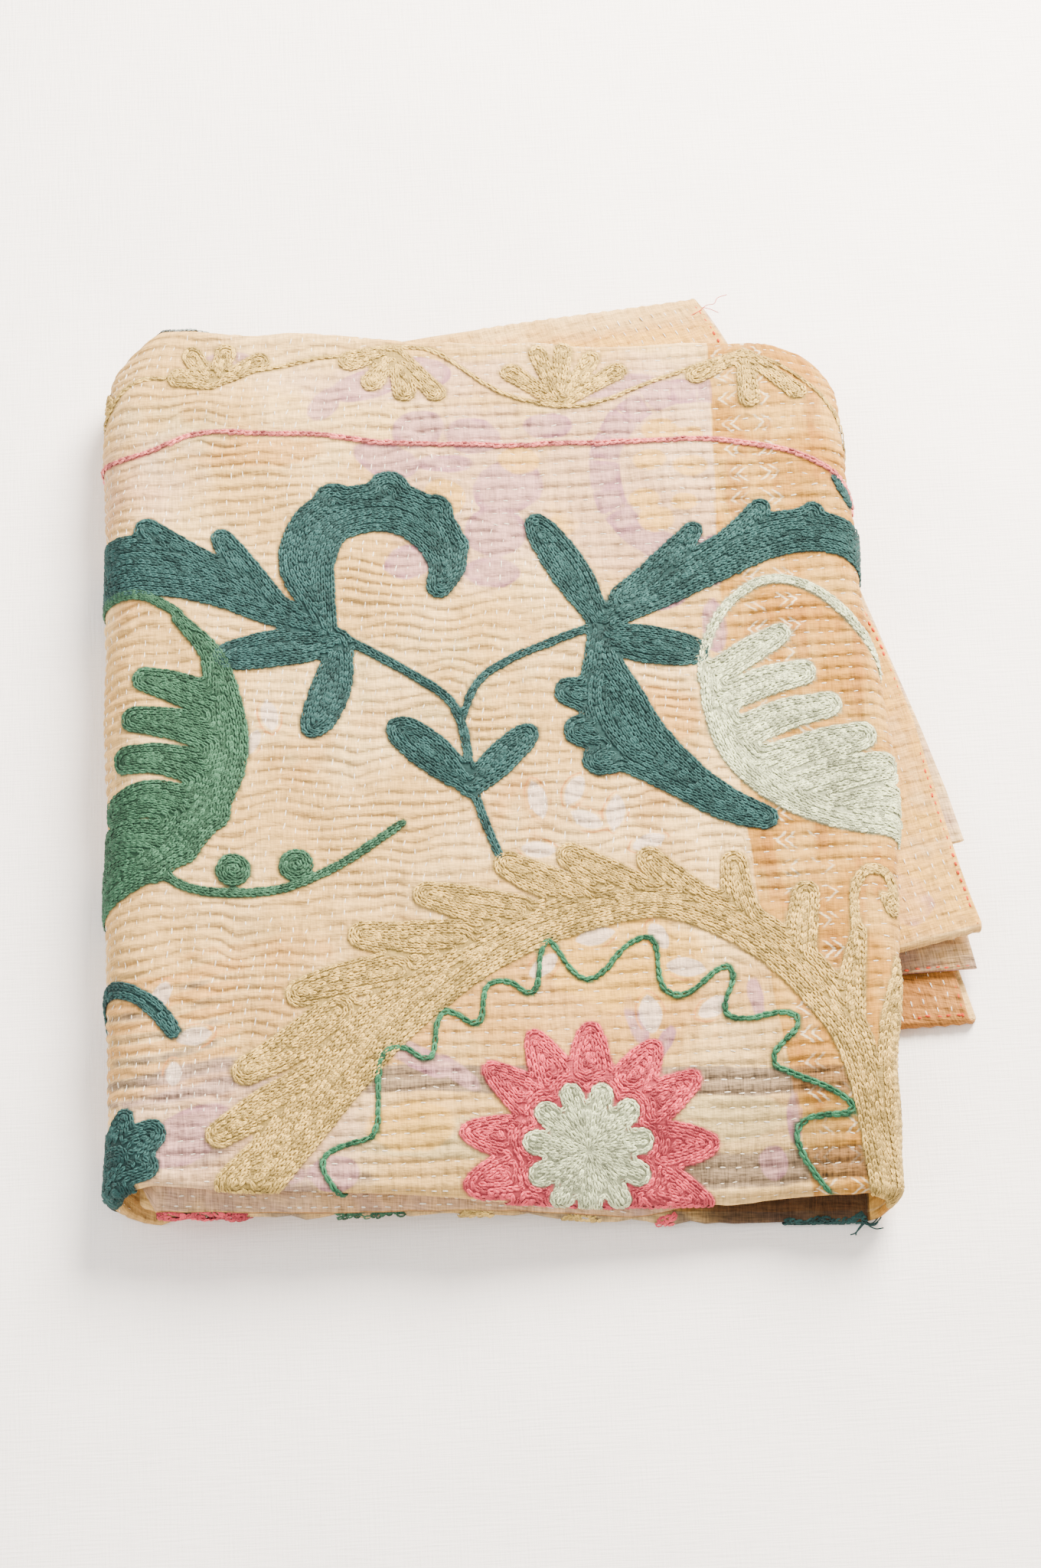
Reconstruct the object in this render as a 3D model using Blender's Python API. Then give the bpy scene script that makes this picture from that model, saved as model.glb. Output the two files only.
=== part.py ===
# Kantha quilt: a hand-quilted cotton throw with crewel flowers, folded into a loose bundle.
#
# The throw is one sheet of cloth. It is folded in three across its width, which makes a
# packet of three plies, and the packet is then folded back and forth along its length into
# four runs. A wide loop closes the bundle on the left, one fold lies under the right edge
# of the top run, and the two hemmed ends come out on the right, turned from the top run.
# Metres, +Z up. The bundle rests on z = 0, with the origin under the middle of its box.

import math
from collections import namedtuple

import bmesh
import bpy
import numpy as np

# Cloth and layers
CLOTH = 0.0026  # thickness of the quilted layers
PLY_PITCH = 0.0040  # from one ply to the next inside a packet
PACKET_PITCH = 0.0120  # from one run of the packet to the next
PACKET_HALF = PLY_PITCH + CLOTH / 2

# Outline of the top run, seen from above
LEFT_EDGE = -0.2035  # outside of the left loop
RIGHT_EDGE = 0.168  # outside of the right fold, at its ends
RIGHT_BOW = 0.012  # how much further it bows out
RIGHT_BOW_Y = -0.015
RIGHT_BOW_WIDTH = 0.100
OUTER_RADIUS = 1.5 * PACKET_PITCH  # middle of the packet in the wide loop
INNER_RADIUS = 0.5 * PACKET_PITCH  # middle of the packet in the folds inside it
SPINE_X = LEFT_EDGE + OUTER_RADIUS + PACKET_HALF
SPINE_Z = PACKET_HALF + 1.5 * PACKET_PITCH
FRONT_RADIUS = PLY_PITCH / 2  # fold between the first and the second ply
BACK_RADIUS = PLY_PITCH  # fold between the first and the third ply

# The runs from the top down: the side that the first ply faces, where the folds at the
# front and the back lie in y at the spine, half way and at the other end, and how far the
# free edges of the second and third plies stop short of the opposite fold.
Run = namedtuple("Run", "level faces front back second_short third_short")
RUNS = {
    "top": Run(3, 1, (-0.1975, -0.2098, -0.2125), (0.2550, 0.2405, 0.2305), 0.034, 0.012),
    "second": Run(2, -1, (-0.2080, -0.2135, -0.2190), (0.2480, 0.2370, 0.2270), 0.038, 0.016),
    "third": Run(1, 1, (-0.1980, -0.1755, -0.1695), (0.2400, 0.2270, 0.2130), 0.044, 0.050),
    "bottom": Run(0, -1, (-0.2065, -0.1880, -0.2100), (0.2330, 0.2180, 0.2040), 0.040, 0.0255),
}

# Hemmed ends of the two lower runs: their x at the front and back folds, how far they bow
# out between, and how much further the second and the third ply reach than the first.
Hem = namedtuple("Hem", "front_x back_x bow second_extra third_extra")
HEMS = {
    "third": Hem(0.2180, 0.0995, 0.0125, -0.0030, 0.0048),
    "bottom": Hem(0.2125, 0.0960, 0.0110, -0.0040, 0.0080),
}
LOWER_TURN = math.tan(math.radians(13.0))  # how the lower runs are turned from the top
TURN_START = 0.020  # length over which that turn begins, next to the spine

# The hollow of the right fold: how high it stands open, and how far in it reaches
HOLLOW_FRONT = 0.012
HOLLOW_BACK = 0.002
HOLLOW_REACH = 0.070
HOLLOW_FROM_Y = -0.200
HOLLOW_TO_Y = -0.115

# Soft corners of the bundle: which way they lie, and their reach in x and y
Corner = namedtuple("Corner", "x y way_x way_y reach_x reach_y")
BACK_LEFT = Corner(LEFT_EDGE, 0.2550, -1, 1, 0.048, 0.036)
BACK_RIGHT = Corner(RIGHT_EDGE, 0.2300, 1, 1, 0.042, 0.030)
FRONT_LEFT = Corner(LEFT_EDGE, -0.2080, -1, -1, 0.010, 0.010)
FRONT_RIGHT = Corner(RIGHT_EDGE, -0.2190, 1, -1, 0.010, 0.012)

# Where the lower runs end, the upper ones sink to the table
SINK_START = 0.008  # past the edge of the lower runs
SINK_REACH = 0.090
LOWER_HEIGHT = 2 * PACKET_PITCH
UNCOVERED_X = 0.172  # right of this nothing lies on the lower runs
UNCOVERED_START = 0.020

# Waves, each as how high it is, its length in x and in y, and where it starts
Wave = namedtuple("Wave", "height length_x length_y start")
UNEVEN_WAVES = (  # of the whole bundle, as shares of its height
    Wave(0.0175, 0.23, 0.31, 0.6),
    Wave(0.0105, 0.13, -0.19, 2.1),
    Wave(0.0070, 0.35, 0.11, 4.0),
)
RIDGE_WAVES = (Wave(0.0016, 0.083, 0.57, 0.0), Wave(0.0008, 0.047, 0.27, 0.0))
RIDGE_PITCH = 0.0075  # quilting ridges on the top face
RIDGE_HEIGHT = 0.0005
RIDGE_FADE = 12  # the ridges rise within this part of the way from a fold
EDGE_WAVE = 0.0014  # of the folds and hems, seen from above
FOLD_WAVE_TURN = 9.5
LEVEL_TURN = 1.7
HEM_WAVE_TURN = 30.0
BACK_THIN = 0.16  # share of the height lost towards the back fold, where plies end
FRONT_THIN = 0.08
THIN_REACH = 0.050

# Steps of the mesh. All plies have their points in the same rows, so that they stay
# clear of each other wherever the bundle is bent: shares of the way from one fold to the
# other, closer together where it bends most.
ROWS = (0.0, 0.04, 0.08, 0.13, 0.20, 0.30, 0.42, 0.58, 0.70, 0.80, 0.87, 0.92, 0.96, 1.0)
END_ROW = 0.13  # a free edge lies between the fold and this row
END_ROWS = (0.0, 0.065)
FOLD_STEPS = (4, 5)  # front and back folds
RUN_STEPS = {"third": 7, "second": 9, "top": 9, "bottom": 7}
TURN_STEPS = {"inner": 4, "right": 6, "outer": 7}

CLOTH_COLOUR = (0.735, 0.552, 0.386, 1.0)
CLOTH_ROUGHNESS = 0.92


def smooth(value):
    value = np.clip(value, 0.0, 1.0)
    return value * value * (3.0 - 2.0 * value)


def blend(a, b, share):
    return a + (b - a) * share


def through(values, share):
    """A smooth curve through the values at 0, a half and 1."""
    start, middle, end = values
    return (
        start * (1 - share) * (1 - 2 * share)
        + middle * 4 * share * (1 - share)
        + end * share * (2 * share - 1)
    )


def waves(table, x, y):
    """The sum of the waves in the table at a point of the plan."""
    total = 0.0 * x
    for wave in table:
        turns = x / wave.length_x + y / wave.length_y
        total = total + wave.height * np.sin(2 * math.pi * turns + wave.start)
    return total


def from_free_edge(free, fold, opposite, share):
    """y on a ply that ends short of one fold, at this share of the way to the other."""
    first_row = blend(fold, opposite, END_ROW)
    near = blend(free, first_row, share / END_ROW)
    return np.where(share < END_ROW, near, blend(fold, opposite, share))


# The section of a packet is a letter fold. A place on its middle line is a number from 0
# to 5: the second ply is 0 to 1 from its free edge, the front fold 1 to 2, the first ply 2
# to 3, the back fold 3 to 4, and the third ply 4 to 5, ending at its free edge.
def section(place, side, edges):
    """y and height in the packet of a place, on its face on that side (1 or -1)."""
    front, back, second_short, third_short = edges
    front_turn = front + FRONT_RADIUS + CLOTH / 2
    back_turn = back - BACK_RADIUS - CLOTH / 2
    stretch = np.clip(np.floor(place), 0, 4).astype(int)
    share = place - stretch
    angle_front = math.pi * (share - 0.5)
    angle_back = math.pi * (0.5 - share)
    y = np.choose(
        stretch,
        [
            from_free_edge(back - second_short, back_turn, front_turn, share),
            front_turn - FRONT_RADIUS * np.cos(angle_front),
            blend(front_turn, back_turn, share),
            back_turn + BACK_RADIUS * np.cos(angle_back),
            from_free_edge(front + third_short, front_turn, back_turn, 1 - share),
        ],
    )
    height = np.choose(
        stretch,
        [
            0.0 * share,
            FRONT_RADIUS * (1 + np.sin(angle_front)),
            PLY_PITCH + 0.0 * share,
            BACK_RADIUS * np.sin(angle_back),
            -PLY_PITCH + 0.0 * share,
        ],
    )
    out_y = np.choose(
        stretch,
        [0.0 * share, -np.cos(angle_front), 0.0 * share, np.cos(angle_back), 0.0 * share],
    )
    out_height = np.choose(
        stretch,
        [
            -1.0 + 0.0 * share,
            np.sin(angle_front),
            1.0 + 0.0 * share,
            np.sin(angle_back),
            -1.0 + 0.0 * share,
        ],
    )
    return y + side * out_y * CLOTH / 2, height + side * out_height * CLOTH / 2


def edges_of(run, share):
    """Front and back folds of a run, at this share of its way from the spine."""
    turned = FOLD_WAVE_TURN * share + LEVEL_TURN * run.level
    wave = EDGE_WAVE * np.sin(turned) * np.sin(math.pi * share)
    return (
        through(run.front, share) + wave,
        through(run.back, share) + 0.7 * wave,
        run.second_short,
        run.third_short,
    )


def run_level(run):
    return PACKET_HALF + run.level * PACKET_PITCH


def hollow(y):
    """How far the right fold stands open, from the front to the back."""
    opened = smooth((HOLLOW_TO_Y - y) / (HOLLOW_TO_Y - HOLLOW_FROM_Y))
    return blend(HOLLOW_BACK, HOLLOW_FRONT, opened)


def right_turn_x(y):
    bow = RIGHT_BOW * np.exp(-(((y - RIGHT_BOW_Y) / RIGHT_BOW_WIDTH) ** 2))
    return RIGHT_EDGE + bow - PACKET_HALF - INNER_RADIUS - 0.4 * hollow(y)


def hem_x(name, y, place):
    """x of the hemmed end of a lower run, where the plies reach out unequally."""
    run, hem = RUNS[name], HEMS[name]
    share = (y - run.front[2]) / (run.back[2] - run.front[2])
    extra = np.interp(
        place,
        [0, 1, 2, 3, 4, 5],
        [hem.second_extra, hem.second_extra, 0, 0, hem.third_extra, hem.third_extra],
    )
    bow = hem.bow * np.sin(math.pi * np.clip(share, 0, 1))
    wave = EDGE_WAVE * np.sin(HEM_WAVE_TURN * y + place)
    return blend(hem.front_x, hem.back_x, share) + bow + extra + wave


def ridge_rows():
    run = RUNS["top"]
    return 2 * round((run.back[0] - run.front[0]) / RIDGE_PITCH)


def ridges(x, y, place):
    """The quilting ridges across the top: how far each row moves in y, and its height."""
    share = place - 2
    fade = smooth(RIDGE_FADE * share) * smooth(RIDGE_FADE * (1 - share))
    raised = RIDGE_HEIGHT * np.cos(math.pi * ridge_rows() * share)
    return fade * waves(RIDGE_WAVES, x, y), fade * raised


# Each station returns points of the section around one line across the packet.
def on_run(name, share, place, side):
    run = RUNS[name]
    y, height = section(place, side, edges_of(run, share))
    if name in HEMS:
        x = blend(SPINE_X, hem_x(name, y, place), share)
    else:
        x = blend(SPINE_X, right_turn_x(y), share)
    z = run_level(run) + 0.0 * y
    if name == "top":
        inward = np.clip((right_turn_x(y) - x) / HOLLOW_REACH, 0.0, 1.0)
        z = z + hollow(y) * 0.5 * (1 + np.cos(math.pi * inward))
        first_face = (place >= 2) & (place <= 3) & (side > 0) & (0 < share < 1)
        moved, raised = ridges(x, y, place)
        y = y + np.where(first_face, moved, 0.0)
        height = height + np.where(first_face, raised, 0.0)
    return x, y, z + run.faces * height


def on_turn(name, share, place, side):
    """A fold along the bundle, from its lower run (0) to its upper one (1)."""
    lower, upper = {
        "inner": ("third", "second"),
        "right": ("second", "top"),
        "outer": ("bottom", "top"),
    }[name]
    at = 1.0 if name == "right" else 0.0
    low, high = edges_of(RUNS[lower], at), edges_of(RUNS[upper], at)
    edges = [blend(a, b, share) for a, b in zip(low, high)]
    y, height = section(place, side, edges)
    angle = math.pi * (share - 0.5)
    out_x, out_z = math.cos(angle), math.sin(angle)
    if name == "right":
        half = INNER_RADIUS + hollow(y) / 2
        wide = INNER_RADIUS + 0.4 * hollow(y)
        middle = run_level(RUNS["second"]) + half
        normal_x, normal_z = out_x / wide, out_z / half
        length = np.hypot(normal_x, normal_z)
        x = right_turn_x(y) + wide * out_x + height * normal_x / length
        z = middle + half * out_z + height * normal_z / length
        return x, y, z
    radius = OUTER_RADIUS + height if name == "outer" else INNER_RADIUS - height
    return SPINE_X - radius * out_x, y, SPINE_Z + radius * out_z


def turn_lower(x, y):
    past = np.maximum(x - SPINE_X, 0.0)
    return y + LOWER_TURN * past * past / (past + TURN_START)


def soften(corner, x, y):
    """Rounds one corner of the bundle's outline, with no fold at the rounding's rim."""
    inner_x = corner.x - corner.way_x * corner.reach_x
    inner_y = corner.y - corner.way_y * corner.reach_y
    a = np.clip(corner.way_x * (x - inner_x) / corner.reach_x, 0.0, 1.1)
    b = np.clip(corner.way_y * (y - inner_y) / corner.reach_y, 0.0, 1.1)
    in_x = corner.reach_x * a * (1 - np.sqrt(1 - b * b / 2))
    in_y = corner.reach_y * b * (1 - np.sqrt(1 - a * a / 2))
    return x - corner.way_x * in_x, y - corner.way_y * in_y


def lower_outline():
    """Corners of what the lower runs carry, seen from above, counter-clockwise."""
    third, bottom = RUNS["third"], RUNS["bottom"]
    near_front = blend(third.front[0], bottom.front[0], 0.5)
    far_front = blend(third.front[2], bottom.front[2], 0.5)
    hem = HEMS["third"]
    corners = [(LEFT_EDGE - SINK_REACH, near_front), (SPINE_X, near_front)]
    for y in (far_front, blend(third.front[2], third.back[2], 0.5), third.back[2]):
        x = float(hem_x("third", y, 2.5))
        corners.append((x, float(turn_lower(x, y))))
    return corners + [(SPINE_X, third.back[0]), (LEFT_EDGE - SINK_REACH, third.back[0])]


def carried(x, y):
    """1 over the lower runs, falling to 0 where the upper ones lie on the table."""
    corners = lower_outline()
    past = np.full(np.shape(x), -1.0)
    for (ax, ay), (bx, by) in zip(corners, corners[1:] + corners[:1]):
        length = math.hypot(bx - ax, by - ay)
        outside = ((x - ax) * (by - ay) - (y - ay) * (bx - ax)) / length
        past = np.maximum(past, outside)
    return 0.5 * (1 + np.cos(math.pi * np.clip((past - SINK_START) / SINK_REACH, 0.0, 1.0)))


def settle(name, x, y, z):
    """Turns, rounds and sinks the points of one run or fold as the bundle lies."""
    if name in ("third", "bottom"):
        y = turn_lower(x, y)
    if name in ("top", "second", "right"):
        x, y = soften(BACK_RIGHT, x, y)
        x, y = soften(FRONT_RIGHT, x, y)
    if name != "right":
        x, y = soften(BACK_LEFT, x, y)
        x, y = soften(FRONT_LEFT, x, y)
    sunk = LOWER_HEIGHT * (1 - carried(x, y))
    if name in HEMS:
        sunk = sunk * (1 - smooth((x - UNCOVERED_X) / UNCOVERED_START))
    z = z - sunk * np.clip(z / LOWER_HEIGHT, 0.0, 1.0)
    top = RUNS["top"]
    thin = BACK_THIN * smooth(1 - (top.back[1] - y) / THIN_REACH)
    thin = thin + FRONT_THIN * smooth(1 - (y - top.front[1]) / THIN_REACH)
    return np.stack([x, y, z * (1 - thin + waves(UNEVEN_WAVES, x, y))], axis=-1)


def stations():
    """The runs and folds in their order along the cloth, as (name, share)."""
    order = []

    def walk(name, start, end, steps, first):
        for step in range(first, steps + 1):
            order.append((name, blend(start, end, step / steps)))

    walk("third", 1.0, 0.0, RUN_STEPS["third"], 0)
    walk("inner", 0.0, 1.0, TURN_STEPS["inner"], 1)
    walk("second", 0.0, 1.0, RUN_STEPS["second"], 1)
    walk("right", 0.0, 1.0, TURN_STEPS["right"], 1)
    walk("top", 1.0, 0.0, RUN_STEPS["top"], 1)
    walk("outer", 1.0, 0.0, TURN_STEPS["outer"], 1)
    walk("bottom", 0.0, 1.0, RUN_STEPS["bottom"], 1)
    return order


def coarse_places():
    rows = np.array(ROWS)
    ended = np.concatenate([END_ROWS, rows[rows >= END_ROW]])
    front, back = FOLD_STEPS
    stretches = [ended, np.linspace(0, 1, front + 1), rows, np.linspace(0, 1, back + 1)]
    places = [i + stretch[:-1] for i, stretch in enumerate(stretches)]
    return np.concatenate(places + [5 - ended[::-1]])


def ridge_places():
    """The first ply's outer face with a row of points on each ridge and each furrow."""
    rows = ridge_rows()
    coarse = coarse_places()
    fine = 2 + np.arange(rows + 1) / rows
    return np.concatenate([coarse[coarse < 2], fine, coarse[coarse > 3]])


def ring(bm, name, share, upper, lower):
    """One closed line round the packet, as (place along the line, vertex) pairs."""
    at = on_run if name in RUNS else on_turn
    points = []
    for places, side in ((upper, 1), (lower[::-1], -1)):
        points.append(settle(name, *at(name, share, places, side)))
    along = np.concatenate([upper, 11.0 - lower[::-1]])
    verts = [bm.verts.new(p) for p in np.concatenate(points)]
    return list(zip(along, verts))


def join(bm, one, other):
    """Faces between two rings: quads where their places agree, else triangles."""
    one = one + [(12.0, one[0][1])]
    other = other + [(12.0, other[0][1])]
    i = j = 0
    while i < len(one) - 1 or j < len(other) - 1:
        next_one = one[i + 1][0] if i < len(one) - 1 else math.inf
        next_other = other[j + 1][0] if j < len(other) - 1 else math.inf
        if abs(next_one - next_other) < 1e-6:
            bm.faces.new([one[i][1], one[i + 1][1], other[j + 1][1], other[j][1]])
            i, j = i + 1, j + 1
        elif next_one < next_other:
            bm.faces.new([one[i][1], one[i + 1][1], other[j][1]])
            i += 1
        else:
            bm.faces.new([one[i][1], other[j + 1][1], other[j][1]])
            j += 1


def close_end(bm, line):
    """The cut face at a hemmed end, between the two sides of the packet's line."""
    verts = [vertex for _, vertex in line]
    count = len(verts)
    for i in range(count // 2 - 1):
        bm.faces.new([verts[i], verts[i + 1], verts[count - 2 - i], verts[count - 1 - i]])


def build_quilt():
    bm = bmesh.new()
    coarse, ridged = coarse_places(), ridge_places()
    rings = []
    for name, share in stations():
        on_top = name == "top" and 0.0 < share < 1.0
        rings.append(ring(bm, name, share, ridged if on_top else coarse, coarse))
    for one, other in zip(rings, rings[1:]):
        join(bm, one, other)
    close_end(bm, rings[0])
    close_end(bm, rings[-1])

    lowest = np.array([v.co[:] for v in bm.verts]).min(axis=0)
    highest = np.array([v.co[:] for v in bm.verts]).max(axis=0)
    middle = (lowest + highest) / 2
    bmesh.ops.translate(bm, verts=bm.verts, vec=(-middle[0], -middle[1], 0.0))
    bmesh.ops.recalc_face_normals(bm, faces=bm.faces)
    mesh = bpy.data.meshes.new("quilt")
    bm.to_mesh(mesh)
    bm.free()
    mesh.shade_smooth()
    quilt = bpy.data.objects.new("quilt", mesh)
    bpy.context.scene.collection.objects.link(quilt)
    return quilt


def cloth_material():
    material = bpy.data.materials.new("washed cotton")
    material.use_nodes = True
    shader = material.node_tree.nodes["Principled BSDF"]
    shader.inputs["Base Color"].default_value = CLOTH_COLOUR
    shader.inputs["Roughness"].default_value = CLOTH_ROUGHNESS
    shader.inputs["Metallic"].default_value = 0.0
    material.diffuse_color = CLOTH_COLOUR
    return material


for old in list(bpy.data.objects):
    bpy.data.objects.remove(old, do_unlink=True)
build_quilt().data.materials.append(cloth_material())
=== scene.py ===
import math
from functools import partial

import bpy
import numpy as np
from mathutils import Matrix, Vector


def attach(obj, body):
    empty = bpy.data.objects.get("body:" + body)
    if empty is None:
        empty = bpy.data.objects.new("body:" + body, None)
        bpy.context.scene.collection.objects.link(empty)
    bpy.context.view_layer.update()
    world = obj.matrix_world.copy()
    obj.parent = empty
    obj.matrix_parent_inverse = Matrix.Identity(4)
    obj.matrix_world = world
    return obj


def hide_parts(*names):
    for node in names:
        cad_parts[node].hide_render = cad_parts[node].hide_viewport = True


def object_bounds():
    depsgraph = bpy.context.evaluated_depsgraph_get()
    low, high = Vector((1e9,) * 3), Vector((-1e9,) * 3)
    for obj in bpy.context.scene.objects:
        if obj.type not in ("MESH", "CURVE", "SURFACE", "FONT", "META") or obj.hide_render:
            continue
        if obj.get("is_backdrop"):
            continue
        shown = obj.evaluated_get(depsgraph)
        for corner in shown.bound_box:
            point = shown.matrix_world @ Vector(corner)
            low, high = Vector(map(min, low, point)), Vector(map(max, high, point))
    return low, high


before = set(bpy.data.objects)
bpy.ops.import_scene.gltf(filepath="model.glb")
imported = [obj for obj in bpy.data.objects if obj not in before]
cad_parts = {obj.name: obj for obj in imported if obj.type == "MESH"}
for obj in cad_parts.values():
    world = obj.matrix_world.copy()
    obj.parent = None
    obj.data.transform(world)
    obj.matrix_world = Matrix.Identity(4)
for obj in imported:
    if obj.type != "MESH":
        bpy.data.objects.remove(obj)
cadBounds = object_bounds()
rng = np.random.default_rng(7)
mm = 0.001
print("frame loaded")

# the folded sheet, the same folds as the solid's
fold = {  # in metres, but for what is said to be a share
    "thick": 0.0026,  # of the quilted sheet
    "plyPitch": 0.0040,  # from ply to ply in the packet of three
    "packetPitch": 0.0120,  # from one run of the packet to the next
    "leftEdge": -0.2035,
    "rightEdge": 0.168,
    "bow": 0.012, "bowY": -0.015, "bowWidth": 0.100,  # how the right edge of the top bows out
    "lowerTurn": math.tan(math.radians(13)), "turnStart": 0.020,  # how the two lower runs are turned
    # the hollow in the right fold, widest at the front
    "hollowFront": 0.012, "hollowBack": 0.002, "hollowReach": 0.070, "hollowFrom": -0.200, "hollowTo": -0.115,
    "sinkStart": 0.008, "sinkReach": 0.090,  # how the upper runs sink past the lower ones
    "uncovered": 0.172, "uncoveredStart": 0.020,  # where nothing lies on the lower runs any more
    "backThin": 0.16, "frontThin": 0.08, "thinReach": 0.050,  # shares by which the bundle is pressed flat
    "edgeWave": 0.0014,
    "endRow": 0.13,  # share of a ply that takes up what it is shorter than the next
    "middle": (0.00718, 0.02726),  # of the bundle's outline, in these numbers
}
half = fold["thick"] / 2
packetHalf = fold["plyPitch"] + half
outerRadius, innerRadius = 1.5 * fold["packetPitch"], 0.5 * fold["packetPitch"]
frontRadius, backRadius = fold["plyPitch"] / 2, fold["plyPitch"]
spineX = fold["leftEdge"] + outerRadius + packetHalf
spineZ = packetHalf + 1.5 * fold["packetPitch"]
loopRadius = outerRadius + packetHalf

# front and back: y of the folds at the spine, half way and at the other end; short: by how much the
# second and the third ply are shorter
runs = {
    "top": {"level": 3, "faces": 1, "front": (-0.1975, -0.2098, -0.2125),
            "back": (0.2550, 0.2405, 0.2305), "short": (0.034, 0.012)},
    "second": {"level": 2, "faces": -1, "front": (-0.2080, -0.2135, -0.2190),
               "back": (0.2480, 0.2370, 0.2270), "short": (0.038, 0.0005), "drawnBack": 0.0155},
    "third": {"level": 1, "faces": 1, "front": (-0.1980, -0.1755, -0.1695),
              "back": (0.2400, 0.2270, 0.2130), "short": (0.044, 0.050)},
    "bottom": {"level": 0, "faces": -1, "front": (-0.2065, -0.1880, -0.2100),
               "back": (0.2330, 0.2180, 0.2040), "short": (0.040, 0.0255)},
}
hems = {
    "third": {"frontX": 0.2180, "backX": 0.0995, "bow": 0.0125, "extra": (-0.0030, 0.0048)},
    "bottom": {"frontX": 0.2125, "backX": 0.0960, "bow": 0.0110, "extra": (-0.0040, 0.0080)},
}
# x, y, which way the corner lies, reach in x and y
corners = {
    "backLeft": (fold["leftEdge"], 0.2550, -1, 1, 0.048, 0.036),
    "backRight": (fold["rightEdge"], 0.2300, 1, 1, 0.042, 0.030),
    "frontLeft": (fold["leftEdge"], -0.2080, -1, -1, 0.010, 0.010),
    "frontRight": (fold["rightEdge"], -0.2190, 1, -1, 0.010, 0.012),
}
# share of the height, length in x, length in y, start
unevenWaves = (
    (0.0175, 0.23, 0.31, 0.6), (0.0105, 0.13, -0.19, 2.1), (0.0070, 0.35, 0.11, 4.0),
)


def smooth(value):
    value = np.clip(value, 0.0, 1.0)
    return value * value * (3.0 - 2.0 * value)


def mix(a, b, share):
    return a + (b - a) * share


def linear(hexColour):
    # sRGB hex to linear red, green, blue and alpha
    values = [int(hexColour[k:k + 2], 16) / 255 for k in (1, 3, 5)]
    return [c / 12.92 if c <= 0.04045 else ((c + 0.055) / 1.055) ** 2.4 for c in values] + [1.0]


def through(values, share):
    # a bow through the values at the start, the middle and the end
    start, middle, end = values
    return (
        start * (1 - share) * (1 - 2 * share)
        + middle * 4 * share * (1 - share)
        + end * share * (2 * share - 1)
    )


def waves(table, x, y):
    total = 0.0 * x
    for height, lengthX, lengthY, start in table:
        total = total + height * np.sin(2 * math.pi * (x / lengthX + y / lengthY) + start)
    return total


def edgesOf(name, share):
    run = runs[name]
    turned = 9.5 * share + 1.7 * run["level"]
    wave = fold["edgeWave"] * np.sin(turned) * np.sin(math.pi * share)
    front = through(run["front"], share) + wave
    back = through(run["back"], share) + 0.7 * wave
    thirdShort = run["short"][1] + run.get("drawnBack", 0.0) * smooth((share - 0.66) / 0.2)
    return [front, back, run["short"][0] + 0.0 * share, thirdShort + 0.0 * share]


def fromFreeEdge(free, start, end, share):
    firstRow = mix(start, end, fold["endRow"])
    near = mix(free, firstRow, share / fold["endRow"])
    return np.where(share < fold["endRow"], near, mix(start, end, share))


def section(place, off, edges):
    # y and height in the packet, off from the middle of the ply: place 0 to 5 is second ply, front
    # fold, first ply, back fold, third ply
    front, back, secondShort, thirdShort = edges
    frontTurn = front + frontRadius + half
    backTurn = back - backRadius - half
    stretch = np.clip(np.floor(place), 0, 4).astype(int)
    share = place - stretch
    flat = 0.0 * share
    a, b = math.pi * (share - 0.5), math.pi * (0.5 - share)
    y = np.choose(stretch, [
        fromFreeEdge(back - secondShort, backTurn, frontTurn, share),
        frontTurn - frontRadius * np.cos(a),
        mix(frontTurn, backTurn, share),
        backTurn + backRadius * np.cos(b),
        fromFreeEdge(front + thirdShort, frontTurn, backTurn, 1 - share),
    ])
    height = np.choose(stretch, [
        flat,
        frontRadius * (1 + np.sin(a)),
        flat + fold["plyPitch"],
        backRadius * np.sin(b),
        flat - fold["plyPitch"],
    ])
    outY = np.choose(stretch, [flat, -np.cos(a), flat, np.cos(b), flat])
    outHeight = np.choose(stretch, [flat - 1, np.sin(a), flat + 1, np.sin(b), flat - 1])
    return y + off * outY, height + off * outHeight


def runLevel(name):
    return packetHalf + runs[name]["level"] * fold["packetPitch"]


def hollow(y):
    opened = smooth((fold["hollowTo"] - y) / (fold["hollowTo"] - fold["hollowFrom"]))
    return mix(fold["hollowBack"], fold["hollowFront"], opened)


def rightTurnX(y):
    bow = fold["bow"] * np.exp(-(((y - fold["bowY"]) / fold["bowWidth"]) ** 2))
    return fold["rightEdge"] + bow - packetHalf - innerRadius - 0.4 * hollow(y)


def hemX(name, y, place):
    run, hem = runs[name], hems[name]
    share = (y - run["front"][2]) / (run["back"][2] - run["front"][2])
    second, third = hem["extra"]
    extra = np.interp(place, [0, 1, 2, 3, 4, 5], [second, second, 0, 0, third, third])
    bow = hem["bow"] * np.sin(math.pi * np.clip(share, 0, 1))
    wave = fold["edgeWave"] * np.sin(30.0 * y + place)
    return mix(hem["frontX"], hem["backX"], share) + bow + extra + wave


def turnLower(x, y):
    past = np.maximum(x - spineX, 0.0)
    return y + fold["lowerTurn"] * past * past / (past + fold["turnStart"])


def soften(corner, x, y):
    # rounds one corner of the bundle
    cornerX, cornerY, wayX, wayY, reachX, reachY = corners[corner]
    a = np.clip(wayX * (x - cornerX + wayX * reachX) / reachX, 0.0, 1.1)
    b = np.clip(wayY * (y - cornerY + wayY * reachY) / reachY, 0.0, 1.1)
    inX = reachX * a * (1 - np.sqrt(1 - b * b / 2))
    inY = reachY * b * (1 - np.sqrt(1 - a * a / 2))
    return x - wayX * inX, y - wayY * inY


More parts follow.
